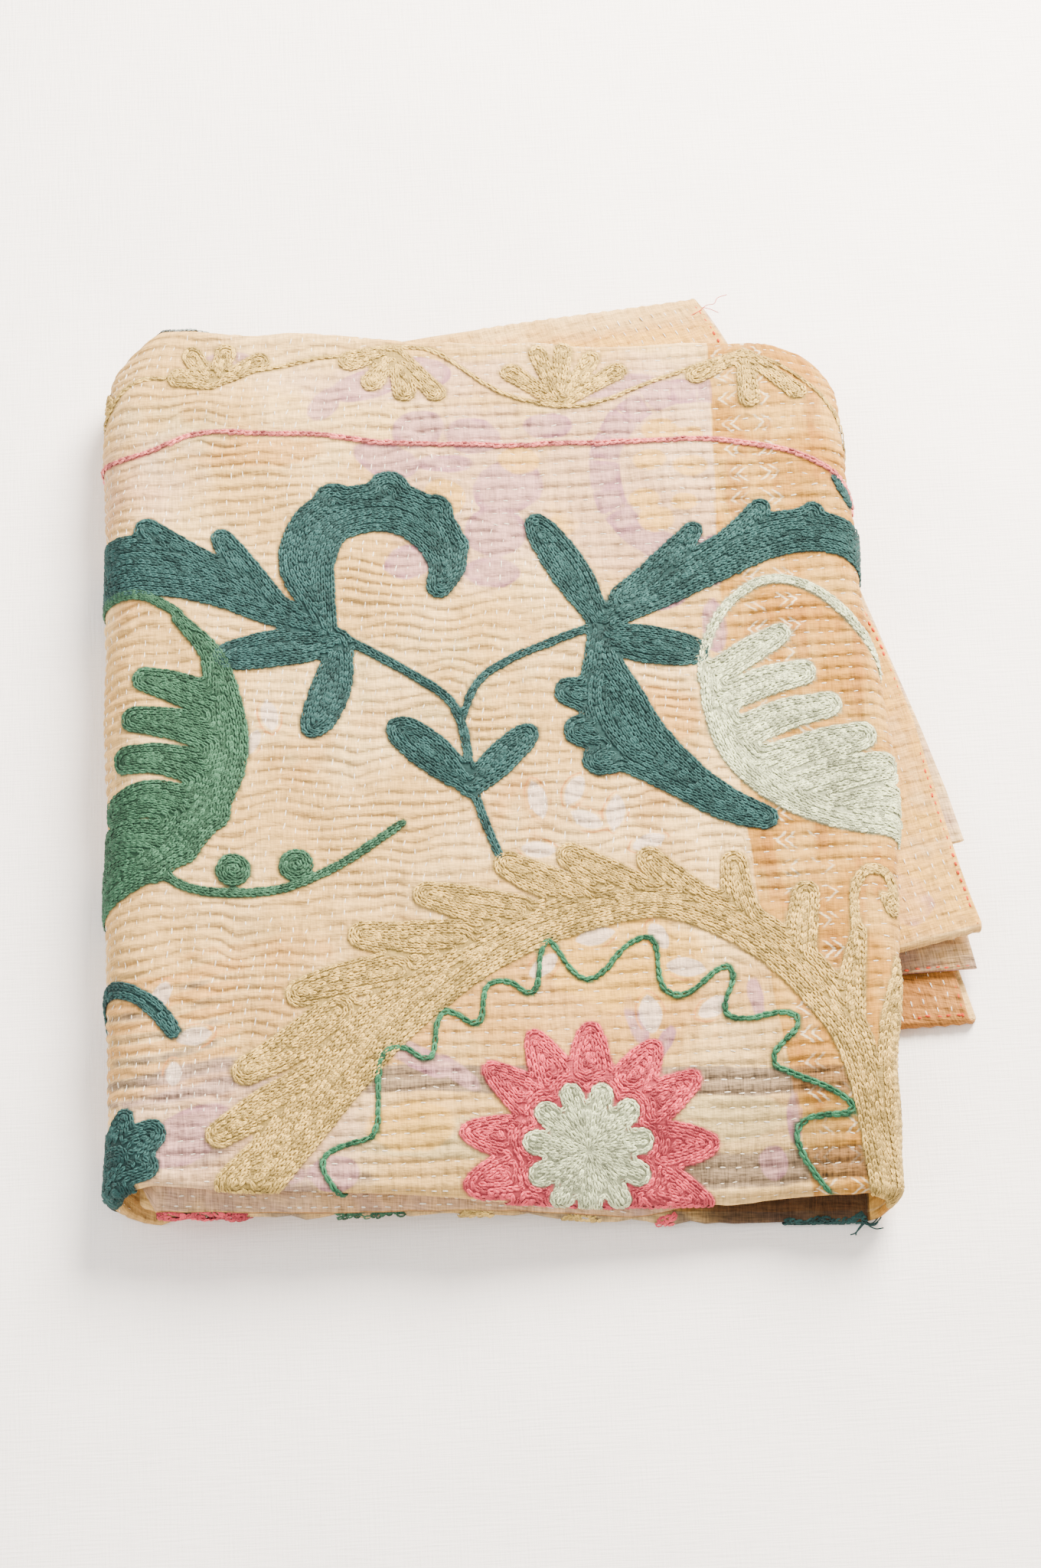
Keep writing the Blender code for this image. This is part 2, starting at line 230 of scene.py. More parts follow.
def lowerOutline():
    # corners of what the two lower runs cover, taken on past the left edge
    third, bottom = runs["third"], runs["bottom"]
    farLeft = fold["leftEdge"] - fold["sinkReach"]
    nearFront = mix(third["front"][0], bottom["front"][0], 0.5)
    farFront = mix(third["front"][2], bottom["front"][2], 0.5)
    points = [(farLeft, nearFront), (spineX, nearFront)]
    for y in (farFront, mix(third["front"][2], third["back"][2], 0.5), third["back"][2]):
        x = float(hemX("third", y, 2.5))
        points.append((x, float(turnLower(x, y))))
    return points + [(spineX, third["back"][0]), (farLeft, third["back"][0])]


def carried(x, y):
    # 1 over the lower runs, falling to 0 where the upper ones lie on the table
    points = lowerOutline()
    past = np.full(np.shape(x), -1.0)
    for (ax, ay), (bx, by) in zip(points, points[1:] + points[:1]):
        length = math.hypot(bx - ax, by - ay)
        past = np.maximum(past, ((x - ax) * (by - ay) - (y - ay) * (bx - ax)) / length)
    share = np.clip((past - fold["sinkStart"]) / fold["sinkReach"], 0.0, 1.0)
    return 0.5 * (1 + np.cos(math.pi * share))


def clothPoint(name, share, place, off):
    # points of the folded sheet in the frame; name is one run or one turn of the packet
    share, place, off = np.broadcast_arrays(*[np.asarray(q, float) for q in (share, place, off)])
    if name in runs:
        y, height = section(place, off, edgesOf(name, share))
        end = hemX(name, y, place) if name in hems else rightTurnX(y)
        x = mix(spineX, end, share)
        z = runLevel(name) + 0.0 * y
        if name == "top":
            inward = np.clip((rightTurnX(y) - x) / fold["hollowReach"], 0.0, 1.0)
            z = z + hollow(y) * 0.5 * (1 + np.cos(math.pi * inward))
        z = z + runs[name]["faces"] * height
    else:
        lower, upper = {"inner": ("third", "second"), "right": ("second", "top"),
                        "outer": ("bottom", "top")}[name]
        at = 0.0 * share + (1.0 if name == "right" else 0.0)
        edges = [mix(a, b, share) for a, b in zip(edgesOf(lower, at), edgesOf(upper, at))]
        y, height = section(place, off, edges)
        angle = math.pi * (share - 0.5)
        outX, outZ = np.cos(angle), np.sin(angle)
        if name == "right":
            tall, wide = innerRadius + hollow(y) / 2, innerRadius + 0.4 * hollow(y)
            normalX, normalZ = outX / wide, outZ / tall
            length = np.hypot(normalX, normalZ)
            x = rightTurnX(y) + wide * outX + height * normalX / length
            z = runLevel("second") + tall + tall * outZ + height * normalZ / length
        else:
            radius = outerRadius + height if name == "outer" else innerRadius - height
            x, z = spineX - radius * outX, spineZ + radius * outZ
    if name in hems:
        y = turnLower(x, y)
    if name in ("top", "second", "right"):
        x, y = soften("backRight", x, y)
        x, y = soften("frontRight", x, y)
    if name != "right":
        x, y = soften("backLeft", x, y)
        x, y = soften("frontLeft", x, y)
    lowHeight = 2 * fold["packetPitch"]
    sunk = lowHeight * (1 - carried(x, y))
    if name in hems:
        sunk = sunk * (1 - smooth((x - fold["uncovered"]) / fold["uncoveredStart"]))
    z = z - sunk * np.clip(z / lowHeight, 0.0, 1.0)
    top = runs["top"]
    thin = fold["backThin"] * smooth(1 - (top["back"][1] - y) / fold["thinReach"])
    thin = thin + fold["frontThin"] * smooth(1 - (y - top["front"][1]) / fold["thinReach"])
    z = z * (1 - thin + waves(unevenWaves, x, y))
    middleX, middleY = fold["middle"]
    return np.stack([x - middleX, y - middleY, z], axis=-1)


def reliefShown(name, share, place):
    # the cover's relief fades out towards the folds that lead under it
    shown = smooth((place - 1.3) * 3) * smooth((3.9 - place) * 3)
    return shown if name == "top" else shown * smooth((share - 0.12) * 5)


def coverEdges(name, share):
    if name == "top":
        return edgesOf("top", share)
    lower = "bottom" if name == "outer" else "second"
    at = 0.0 * share + (1.0 if name == "right" else 0.0)
    return [mix(a, b, share) for a, b in zip(edgesOf(lower, at), edgesOf("top", at))]


def onCover(u, v, off):
    # points off from the cover's outer face at u, v, round its folds too
    u, v, off = np.broadcast_arrays(*[np.asarray(q, float) for q in (u, v, off)])
    points = np.zeros(u.shape + (3,))
    turnX = rightTurnX(v)
    foldRadius = innerRadius + 0.45 * hollow(v) + packetHalf
    shares = {
        "outer": 1 - (spineX - u) / (loopRadius * math.pi),
        "top": (u - spineX) / (turnX - spineX),
        "right": 1 - (u - turnX) / (foldRadius * math.pi),
    }
    masks = {"outer": u < spineX, "right": u > turnX}
    masks["top"] = ~(masks["outer"] | masks["right"])
    for name, mask in masks.items():
        if mask.any():
            share = np.clip(shares[name][mask], 0.0, 1.0)
            front, back = coverEdges(name, share)[:2]
            frontTurn, backTurn = front + frontRadius + half, back - backRadius - half
            across = v[mask]
            place = 2 + np.clip((across - frontTurn) / (backTurn - frontTurn), 0.0, 1.0)
            before = np.maximum(frontTurn - across, 0.0) / (math.pi * (frontRadius + half))
            beyond = np.maximum(across - backTurn, 0.0) / (math.pi * (backRadius + half))
            place = place - np.minimum(before, 0.98) + np.minimum(beyond, 0.98)
            height = half + reliefShown(name, share, place) * relief(u[mask], across) + off[mask]
            points[mask] = clothPoint(name, share, place, height)
    return points


# the embroidery, as strokes: x, y and half width in millimetres on the cover
motifs = {
    "teal": [
        # plume over the left edge
        [(-96, 79, 4), (-118, 90, 8), (-145, 106, 12), (-175, 116, 15), (-205, 119, 15), (-232, 120, 14)],
        [(-181, 136, 5.5), (-165, 124, 7), (-146, 110, 8)],
        [(-144, 130, 5), (-134, 114, 7), (-120, 94, 7)],
        # scalloped hook
        [(-93, 78, 4.5), (-98, 96, 9), (-102, 116, 13.5), (-94, 135, 14), (-74, 143, 13), (-53, 141, 13),
         (-38, 128, 11.5), (-33, 112, 9), (-37, 99, 6)],
        [(-88, 148, 9.5), (-87, 146, 9.5)],
        [(-61, 153, 10), (-60, 151, 10)],
        [(-38, 140, 8.5), (-39, 138, 8.5)],
        [(-28, 121, 6), (-30, 121, 6)],
        # leaves and stem of the left sprig
        [(-88, 72, 6), (-112, 70, 9.3), (-136, 67.5, 8), (-144, 67, 5)],
        [(-87, 68, 6), (-91, 50, 9), (-97, 34, 8.5), (-101, 27, 5.5)],
        [(-86, 74, 1.7), (-62, 59, 1.5), (-39, 43, 1.5), (-30, 29, 1.5), (-27, 12, 1.6), (-25, -6, 1.5),
         (-20, -25, 1.3), (-13, -45, 1.2)],
        [(-28, 30, 1.4), (-20, 47, 1.4), (-4, 58, 1.4), (15, 66, 1.4), (38, 74, 1.6)],
        [(-27, -6, 4.5), (-42, 9, 8.8), (-55, 21, 8.2), (-60, 25, 5.5)],
        [(-26, -8, 4.5), (-13, 4, 7.4), (-1, 15, 6.6), (3, 19, 4.5)],
        # right sprig: leaf, plume over the right edge, leaf, scalloped tail
        [(41, 76, 5), (29, 101, 9), (17, 123, 8), (12, 131, 5.5)],
        [(42, 76, 5), (66, 90, 8), (96, 106, 10.5), (130, 120, 11), (156, 119, 10), (178, 108, 9),
         (192, 98, 8)],
        [(89, 124, 4.5), (76, 109, 7), (54, 88, 8)],
        [(123, 134, 5), (115, 124, 6.5), (100, 110, 7)],
        [(149, 131, 5), (142, 125, 6.5), (130, 117, 8)],
        [(41, 68, 6.5), (60, 64, 9.5), (79, 61, 8.5), (87, 60, 6)],
        [(42, 72, 6.5), (41, 54, 9), (44, 34, 15.5), (53, 15, 16), (66, 2, 12.5), (84, -13, 9),
         (102, -25, 7.5), (115, -30, 5.5)],
        [(24, 40, 7), (30, 38, 8)],
        [(28, 19, 7.5), (36, 18, 9)],
        [(37, 4, 8), (43, 6, 9)],
        [(161, 150, 1.2), (166, 143, 2.2), (170, 136, 1.5)],
        # hook and rose at the front left, both round the edge
        [(-226, -118, 4), (-214, -105, 4), (-202, -101, 3.6), (-188, -106, 3.2), (-177, -115, 3.6),
         (-170, -125, 3.2)],
        [(-198, -184, 13), (-210, -186, 16), (-228, -186, 15)],
        [(-181, -174, 6.5), (-190, -180, 10)],
        [(-195, -166, 5.5), (-199, -174, 9)],
        [(-184, -189, 6), (-192, -188, 9)],
        [(-200, -199, 9), (-207, -203, 10)],
    ],
    "green": [
        # half medallion with fingers
        [(-166, 88, 2.6), (-150, 68, 5), (-145, 42, 9), (-144, 17, 11), (-152, -6, 12), (-166, -27, 12),
         (-186, -42, 9), (-224, -58, 7)],
        [(-232, 99, 1.7), (-206, 103, 1.7), (-184, 101, 1.7), (-166, 91, 1.7)],
        [(-148, 42, 8), (-166, 51, 8), (-182, 56, 6)],
        [(-144, 22, 9), (-166, 31, 8), (-188, 35, 6)],
        [(-146, 2, 9), (-170, 12, 8), (-193, 14, 6.5)],
        [(-152, -16, 10), (-178, -8, 9), (-201, -10, 7.5)],
        [(-166, -32, 10), (-190, -28, 10), (-214, -27, 8.5)],
        [(-178, -42, 8), (-200, -43, 10), (-226, -46, 12)],
        # tendril with two curls
        [(-178, -43, 1.6), (-162, -54, 1.5), (-140, -57.5, 1.5), (-114, -55, 1.5), (-87, -43, 1.5),
         (-59, -25, 1.3)],
        [(-141, -46, 7.6), (-140.5, -46, 7.6)],
        [(-111, -44, 7.6), (-110.5, -44, 7.6)],
    ],
    "mint": [
        [(89, 44, 1.6), (91, 60, 1.6), (99, 78, 1.6), (112, 91, 1.6), (127, 96, 1.6), (142, 92, 1.6),
         (157, 80, 1.6), (172, 62, 1.6), (186, 44, 1.6)],
        [(93, 50, 4), (96, 28, 7), (105, 6, 9), (121, -12, 9), (141, -24, 8.5), (164, -31, 8), (190, -36, 7)],
        [(96, 48, 6), (113, 58, 6.5), (128, 66, 5)],
        [(97, 32, 7), (118, 41, 7), (138, 45, 6)],
        [(103, 13, 8), (126, 23, 7.5), (149, 27, 6)],
        [(113, -3, 9), (140, 5, 8), (164, 10, 6.5)],
        [(127, -16, 9), (152, -10, 9), (178, -6, 7.5)],
        [(147, -26, 8), (165, -24, 9), (188, -24, 9)],
    ],
    "grey": [
        [(-190, 258, 2.5), (-170, 259, 4), (-150, 258, 2.5)],
        [(-130, 259, 3), (-112, 259.5, 4), (-98, 258, 2)],
    ],
    "tan": [
        # feathered arc
        [(-132, -198, 11), (-113, -173, 13), (-92, -147, 14), (-66, -120, 14), (-36, -98, 12), (-5, -82, 11),
         (28, -72, 10), (60, -69, 9), (88, -77, 10), (112, -92, 10), (132, -113, 10), (146, -138, 8.5),
         (153, -163, 7.5), (157, -188, 7), (160, -216, 6.5)],
        [(-143, -200, 8.5), (-132, -192, 10)],
        [(-149, -176, 6), (-128, -164, 8), (-106, -152, 8)],
        [(-136, -146, 6.5), (-115, -135, 8.5), (-92, -119, 9)],
        [(-110, -109, 6.5), (-90, -104, 8.5), (-64, -99, 9)],
        [(-80, -81, 6.5), (-58, -84, 8.5), (-32, -85, 9)],
        [(-49, -62, 6), (-30, -67, 8), (-5, -72, 8)],
        [(-10, -48, 6), (5, -56, 7.5), (26, -66, 7.5)],
        [(20, -45, 6), (34, -54, 7), (52, -64, 7)],
        [(58, -49, 6), (66, -58, 7), (80, -70, 7)],
        [(98, -53, 6), (99, -68, 7), (104, -84, 7)],
        [(131, -70, 6), (128, -86, 7), (126, -102, 7)],
        [(155, -90, 3.0), (151, -107, 5), (147, -130, 7)],
        [(154, -92, 1.6), (154, -70, 1.6), (161, -59, 1.7), (169, -60, 1.7), (174, -67, 2.4), (173, -79, 3.4),
         (168, -72, 1.5)],
        [(174, -104, 2), (171, -124, 5.5), (168, -148, 8), (170, -178, 9), (174, -216, 9)],
        # sprigs along the back
        [(-148, 220, 3), (-158, 236, 5)],
        [(-147, 220, 3), (-141, 237, 5)],
        [(-147, 219, 3), (-124, 231, 5)],
        [(-149, 218, 3), (-165, 223, 5)],
        [(-56, 236, 3), (-78, 230, 5.5)],
        [(-56, 236, 3), (-67, 216, 5.5)],
        [(-55, 236, 3), (-51, 209, 5.5)],
        [(-55, 236, 3), (-35, 208, 5)],
        [(26, 199, 2.5), (3, 219, 5)],
        [(27, 199, 2.5), (17, 230, 4)],
        [(27, 199, 2.5), (30, 232, 4)],
        [(28, 199, 2.5), (44, 226, 4)],
        [(29, 199, 2.5), (56, 217, 5)],
        [(120, 223, 3), (97, 213, 5)],
        [(121, 223, 3), (122, 196, 5)],
        [(122, 223, 3), (146, 199, 4.5)],
        [(-206, 214, 4), (-214, 220, 6)],
    ],
    "coral": [],
}
# single rows: path points in millimetres
lines = {
    "wavyGreen": [(-90, -210), (-99, -200), (-102, -190), (-95, -184), (-84, -182), (-76, -178), (-75, -162),
                  (-74, -145), (-69, -138), (-61, -138), (-54, -144), (-48, -142), (-47, -128), (-43, -120),
                  (-36, -122), (-29, -128), (-25, -124), (-24, -113), (-20, -107), (-11, -107), (-3, -114),
                  (2, -110), (3, -98), (6, -88), (10, -88), (18, -103), (27, -108), (36, -101), (42, -94),
                  (52, -88), (58, -90), (59, -102), (60, -113), (67, -118), (76, -115), (86, -106),
                  (93, -104), (94, -112), (89, -122), (90, -129), (100, -131), (116, -128), (123, -131),
                  (121, -139), (112, -146), (110, -153), (118, -158), (132, -165), (144, -172), (146, -178),
                  (132, -178), (120, -181), (120, -191), (127, -203), (135, -214)],
    "pinkLine": [(-232, 172), (-217, 179), (-200, 178), (-184, 179), (-168, 185), (-156, 189), (-140, 188),
                 (-125, 187), (-97, 186), (-70, 181), (-46, 178), (-14, 176), (20, 176), (59, 175), (84, 175),
                 (104, 174), (131, 168), (152, 159), (166, 148), (182, 132)],
    "tan": [(-232, 203), (-214, 206), (-201, 213), (-186, 224), (-170, 223), (-156, 229), (-140, 227),
            (-124, 225), (-96, 232), (-83, 233), (-57, 238), (-38, 237), (-24, 226), (-10, 212), (2, 204),
            (21, 198), (41, 196), (61, 204), (81, 213), (102, 220), (122, 223), (141, 215), (156, 200),
            (170, 180), (182, 160)],
}
yarnColours = {
    "teal": "#284643",
    "green": "#345740",
    "mint": "#bdc29a",
    "tan": "#b99a53",
    "coral": "#c14752",
    "grey": "#6f7672",
    "wavyGreen": "#2f6244",
    "pinkLine": "#c86a66",
}
rosette = {"x": 22, "y": -189, "petals": 13, "scallops": 11, "heart": 20, "rows": 16}
motifs["heart"] = [[(rosette["x"] + aside, rosette["y"], rosette["heart"]) for aside in (0, 0.5)]]


def spoke(turn, *stations):
    c, s = math.cos(math.radians(turn)), math.sin(math.radians(turn))
    return [(rosette["x"] + c * reach, rosette["y"] + s * reach, wide) for reach, wide in stations]


for k in range(rosette["petals"]):
    turn = 360 / rosette["petals"] * k + 2 + 2.5 * math.sin(2.3 * k)
    motifs["coral"].append(spoke(turn, (22, 10), (38, 9.6), (50, 7.0), (57 + 1.5 * math.sin(1.7 * k), 4.2)))
for k in range(rosette["scallops"]):
    motifs["heart"].append(spoke(360 / rosette["scallops"] * k + 8, (14, 5.0), (25.5, 4.9)))

# one flat grid holds the distance to each colour's shapes, in millimetres
grid = {"u0": -238.0, "v0": -226.0, "step": 0.75, "nu": 580, "nv": 658}
gridU = grid["u0"] + grid["step"] * np.arange(grid["nu"])
gridV = grid["v0"] + grid["step"] * np.arange(grid["nv"])


def curveThrough(points, steps):
    # a smooth curve through the given points
    p = np.array(points, float)
    p = np.vstack([2 * p[0] - p[1], p, 2 * p[-1] - p[-2]])
    t = np.arange(steps)[:, None] / steps
    parts = []
    for a, b, c, d in zip(p[:-3], p[1:-2], p[2:-1], p[3:]):
        parts.append(0.5 * (2 * b + (c - a) * t + (2 * a - 5 * b + 4 * c - d) * t**2
                            + (3 * b - a - 3 * c + d) * t**3))
    return np.vstack(parts + [p[-2:-1]])


def distanceGrid(strokes, margin=12.0):
    field = np.full((grid["nu"], grid["nv"]), margin)
    for stroke in strokes:
        path = curveThrough(stroke, 5 if len(stroke) > 2 else 2)
        for (ax, ay, ar), (bx, by, br) in zip(path, path[1:]):
            reach = max(ar, br) + margin
            iu = slice(*np.searchsorted(gridU, [min(ax, bx) - reach, max(ax, bx) + reach]))
            iv = slice(*np.searchsorted(gridV, [min(ay, by) - reach, max(ay, by) + reach]))
            gu, gv = gridU[iu, None], gridV[None, iv]
            dx, dy = bx - ax, by - ay
            t = np.clip(((gu - ax) * dx + (gv - ay) * dy) / max(dx * dx + dy * dy, 1e-9), 0, 1)
            away = np.hypot(gu - ax - t * dx, gv - ay - t * dy) - (ar + (br - ar) * t)
            field[iu, iv] = np.minimum(field[iu, iv], away)
    return field


def sample(field, u, v):
    # the field at u, v in metres, between its grid points
    a = np.clip((np.asarray(u) * 1000 - grid["u0"]) / grid["step"], 0, grid["nu"] - 1.001)
    b = np.clip((np.asarray(v) * 1000 - grid["v0"]) / grid["step"], 0, grid["nv"] - 1.001)
    i, j = a.astype(int), b.astype(int)
    a, b = a - i, b - j
    low = field[i, j] * (1 - a) + field[i + 1, j] * a
    high = field[i, j + 1] * (1 - a) + field[i + 1, j + 1] * a
    return low * (1 - b) + high * b


# which sides of a grid square a line joins, for each set of its corners that lies inside
crossings = {1: "03", 2: "10", 4: "21", 8: "32", 3: "13", 6: "20", 12: "31", 9: "02", 7: "23",
             11: "12", 13: "01", 14: "30", 5: "0321", 10: "1032"}


def contours(field, level):
    # closed or open lines where the field has this level, in millimetres
    low = field - level
    inside = (low < 0).astype(int)
    kind = inside[:-1, :-1] + 2 * inside[1:, :-1] + 4 * inside[1:, 1:] + 8 * inside[:-1, 1:]
    following, points = {}, {}
    for i, j in zip(*np.nonzero((kind > 0) & (kind < 15))):
        sides = (((i, j), (i + 1, j)), ((i + 1, j), (i + 1, j + 1)),
                 ((i, j + 1), (i + 1, j + 1)), ((i, j), (i, j + 1)))
        pairs = crossings[kind[i, j]]
        for k in range(0, len(pairs), 2):
            keys = [sides[int(pairs[k])], sides[int(pairs[k + 1])]]
            for key in keys:
                if key not in points:
                    (i0, j0), (i1, j1) = key
                    t = low[i0, j0] / (low[i0, j0] - low[i1, j1])
                    points[key] = (gridU[i0] + t * (i1 - i0) * grid["step"],
                                   gridV[j0] + t * (j1 - j0) * grid["step"])
            following[keys[0]] = keys[1]
    starts = [key for key in following if key not in set(following.values())]
    found = []
    while following:
        key = starts.pop() if starts else next(iter(following))
        line = [points[key]]
        while key in following:
            key = following.pop(key)
            line.append(points[key])
        found.append(np.array(line))
    return found


def evenly(line, pitch):
    # points at about that pitch along a line, smoothed a little first
    closed = np.hypot(*(line[0] - line[-1])) < 1e-6
    if len(line) > 8:
        before, after = (line[-4:-1], line[1:4]) if closed else (line[[0, 0, 0]], line[[-1, -1, -1]])
        around = np.vstack([before, line, after])
        line = sum(around[k:k + len(line)] for k in range(7)) / 7
    along = np.concatenate([[0], np.cumsum(np.hypot(*np.diff(line, axis=0).T))])
    if along[-1] < 0.8 * pitch:
        return None
    count = max(1, round(along[-1] / pitch))
    at = np.linspace(0, along[-1], count + 1)
    return np.stack([np.interp(at, along, line[:, k]) for k in (0, 1)], axis=1)


# in mm: from row to row, from stitch to stitch, how far each link runs into the next as a share, the
# stitches of the single rows, and how much fuller the shapes are than their strokes
stitchSizes = {"row": 2.4, "pitch": 3.1, "overlap": 1.32, "linePitch": 3.9, "fuller": 0.9}
fields = {name: distanceGrid(strokes) - stitchSizes["fuller"] for name, strokes in motifs.items()}
fields["coral"] = np.maximum(fields["coral"], -fields["heart"])
lineFields = {name: distanceGrid([[(x, y, 1.2) for x, y in path]]) for name, path in lines.items()}
allCovered = np.minimum.reduce(list(fields.values()) + list(lineFields.values()))
chainRows = {name: [] for name in list(motifs) + ["wavyGreen", "pinkLine"]}
squeezed = 0.35 * stitchSizes["row"]
for name, field in fields.items():
    # room is how much deeper the shape gets near a row: a last row or two fill what is left there
    deepest = -field
    for _ in range(3):
        shifted = [np.roll(deepest, way, axis) for way in (-1, 1) for axis in (0, 1)]
        deepest = np.maximum.reduce([deepest] + shifted)
    for k in range(1 if name == "heart" else 9):
        depth = stitchSizes["row"] * (k + 0.5)
        # the row and what fills a gap behind it: how much further in, room from and room to
        layers = ((0.0, squeezed if k else -1, 99), (0.9, 0, 2.0), (1.7, 2.0, stitchSizes["row"] + squeezed))
        for further, least, most in layers[:1] if name == "heart" else layers:
            for line in contours(field, -depth - further):
                room = sample(deepest, line[:, 0] * mm, line[:, 1] * mm) - depth
                wanted = ((room > least) & (room < most)).astype(int)
                ends = np.flatnonzero(np.diff(np.concatenate([[0], wanted, [0]])))
                pieces = [line[a:b] for a, b in zip(ends[::2], ends[1::2]) if b - a > 4]
                found = [evenly(piece, stitchSizes["pitch"]) for piece in pieces]
                chainRows[name] += [row for row in found if row is not None]
# the heart of the rosette is filled outwards from its middle
for k in range(4 * rosette["rows"]):
    turn = 2 * math.pi * k / (4 * rosette["rows"])
    reach = np.arange({0: 2.0, 2: 7.0}.get(k % 4, 13.5), 34, 0.4)
    way = np.array([math.cos(turn), math.sin(turn)])
    line = np.array([rosette["x"], rosette["y"]]) + reach[:, None] * way
    inside = line[sample(fields["heart"], line[:, 0] * mm, line[:, 1] * mm) < -2.6]
    chainRows["heart"].append(evenly(inside, stitchSizes["pitch"]))
chainRows["mint"] += chainRows.pop("heart")
fields["mint"] = np.minimum(fields["mint"], fields.pop("heart"))
for name, path in lines.items():
    chainRows[name].append(evenly(curveThrough(path, 6), stitchSizes["linePitch"]))
print("embroidery laid out:", {name: sum(len(r) for r in found) for name, found in chainRows.items()})

# quilting: rows of running stitch and the ridges between the stitches
quilting = {
    "ridge": 6.1,  # mm from one ridge to the next, which is also from stitch to stitch
    "row": 5.9,
    "wider": 1.12,  # where the rows run along u
    "lean": 0.16,  # of the rows that run along v
    "height": 0.00056,
    "between": 0.00012,  # from one stitch to the next along a row
    "dimple": 0.00030,  # at each stitch
    "lift": 0.0002,  # under the embroidery
    "pinch": 0.0004,  # beside it
}
# soft troughs (-) and ridges (+) in the cover: u and v of both ends, height and width, in mm
creases = [
    (-205, 205, -120, 188, -1.1, 5), (-190, 150, -120, 165, -0.9, 6), (-150, 205, -85, 195, 0.9, 6),
    (-60, 208, -30, 165, -0.9, 5), (-92, 205, -70, 176, 0.8, 5), (20, 178, 12, 140, -0.7, 4),
    (-205, 80, -150, 110, 0.6, 6), (-196, -70, -120, -84, -0.7, 7), (-200, -92, -110, -112, 0.6, 7),
    (-198, -128, -140, -138, -0.8, 5), (-110, -150, -30, -160, -0.7, 6), (-40, -158, 60, -166, 0.7, 7),
    (60, -154, 140, -158, -0.8, 5), (-30, 10, 60, -10, 0.6, 9), (70, 100, 110, 60, -0.5, 6),
    (-120, 20, -60, -20, -0.5, 8), (130, 180, 150, 110, 0.6, 7), (120, -30, 160, -80, 0.5, 8),
    (-195, -195, -110, -203, 0.9, 6), (30, -176, 110, -184, 0.5, 8),
    (-50, 178, -46, 150, -0.7, 2.6), (-31, 190, -33, 164, -0.7, 2.4), (-20, 154, -17, 120, -0.8, 2.6),
    (14, 176, 17, 138, -0.7, 2.6), (-2, 112, 5, 142, -0.6, 2.4), (-64, 194, -60, 174, -0.5, 2.4),
    (-150, 62, -196, 70, -0.6, 5), (-95, -64, -40, -74, -0.6, 5), (-196, -150, -150, -160, 0.7, 5),
    (-120, 200, -80, 214, -0.6, 5), (-196, 40, -160, 28, 0.5, 5), (60, 60, 84, 20, -0.5, 5),
]
slowWaves = (
    (0.0006, 0.091, 0.123, 1.1), (0.0005, -0.063, 0.077, 2.9), (0.0003, 0.037, 0.049, 0.3),
)


def rowsRunAcross(u, v):
    # millimetres into the zones where the rows of stitch run along u; below 0 outside
    u, v = u * 1000, v * 1000
    right = u - np.interp(v, [-230, -60, 0, 60, 120, 200, 250], [105, 105, 104, 75, 0, -60, -80])
    inArc = 128 - np.hypot(u - 22, v + 215)
    return np.maximum(np.maximum(right, inArc), -166 - v)


randomTable = rng.standard_normal((97, 89))


def softNoise(u, v, pitchU, pitchV, start):
    # smooth random heights of about +-1, a new one every pitchU and pitchV millimetres
    a, b = u * 1000 / pitchU + start, v * 1000 / pitchV + 2.3 * start
    i, j = np.floor(a).astype(int), np.floor(b).astype(int)
    a, b = smooth(a - i), smooth(b - j)
    corner = [[randomTable[(i + k) % 97, (j + m) % 89] for m in (0, 1)] for k in (0, 1)]
    return mix(mix(corner[0][0], corner[1][0], a), mix(corner[0][1], corner[1][1], a), b)


rowWaves = ((0.30, 0.097, 0.143, 0.0), (0.16, 0.043, -0.071, 1.3))
stitchWaves = ((0.12, 0.210, 0.120, 0.7),)


def wobble(u, v):
    # how far rows and stitches stray, in shares of their pitch
    first = waves(rowWaves, u, v) + 0.20 * softNoise(u, v, 17, 23, 5.1) + 0.09 * softNoise(u, v, 7.5, 9, 17.7)
    return first, waves(stitchWaves, u, v) + 0.05 * softNoise(u, v, 31, 27, 40.3)


def quiltTurns(u, v):
    # turns over the ridges, turns of the pattern the other way and how strong both are: a stitch
    # lies at one half and at zero, whichever way its row runs
    zone = rowsRunAcross(u, v)
    first, second = wobble(u, v)
    wider = np.where(zone > 0, quilting["wider"], 1) * mm
    s = np.where(zone > 0, u, v)
    t = np.where(zone > 0, v, u - quilting["lean"] * v)
    strong = smooth(np.abs(zone) / 4) * smooth(sample(allCovered, u, v) / 3)
    strong = strong * np.clip(0.85 + 0.30 * softNoise(u, v, 24, 14, 61.9), 0.25, 1.4)
    along, across = s / (quilting["ridge"] * wider) + first, t / (quilting["row"] * wider) + second
    return np.where(zone > 0, across + 0.5, along), np.where(zone > 0, along + 0.5, across), strong


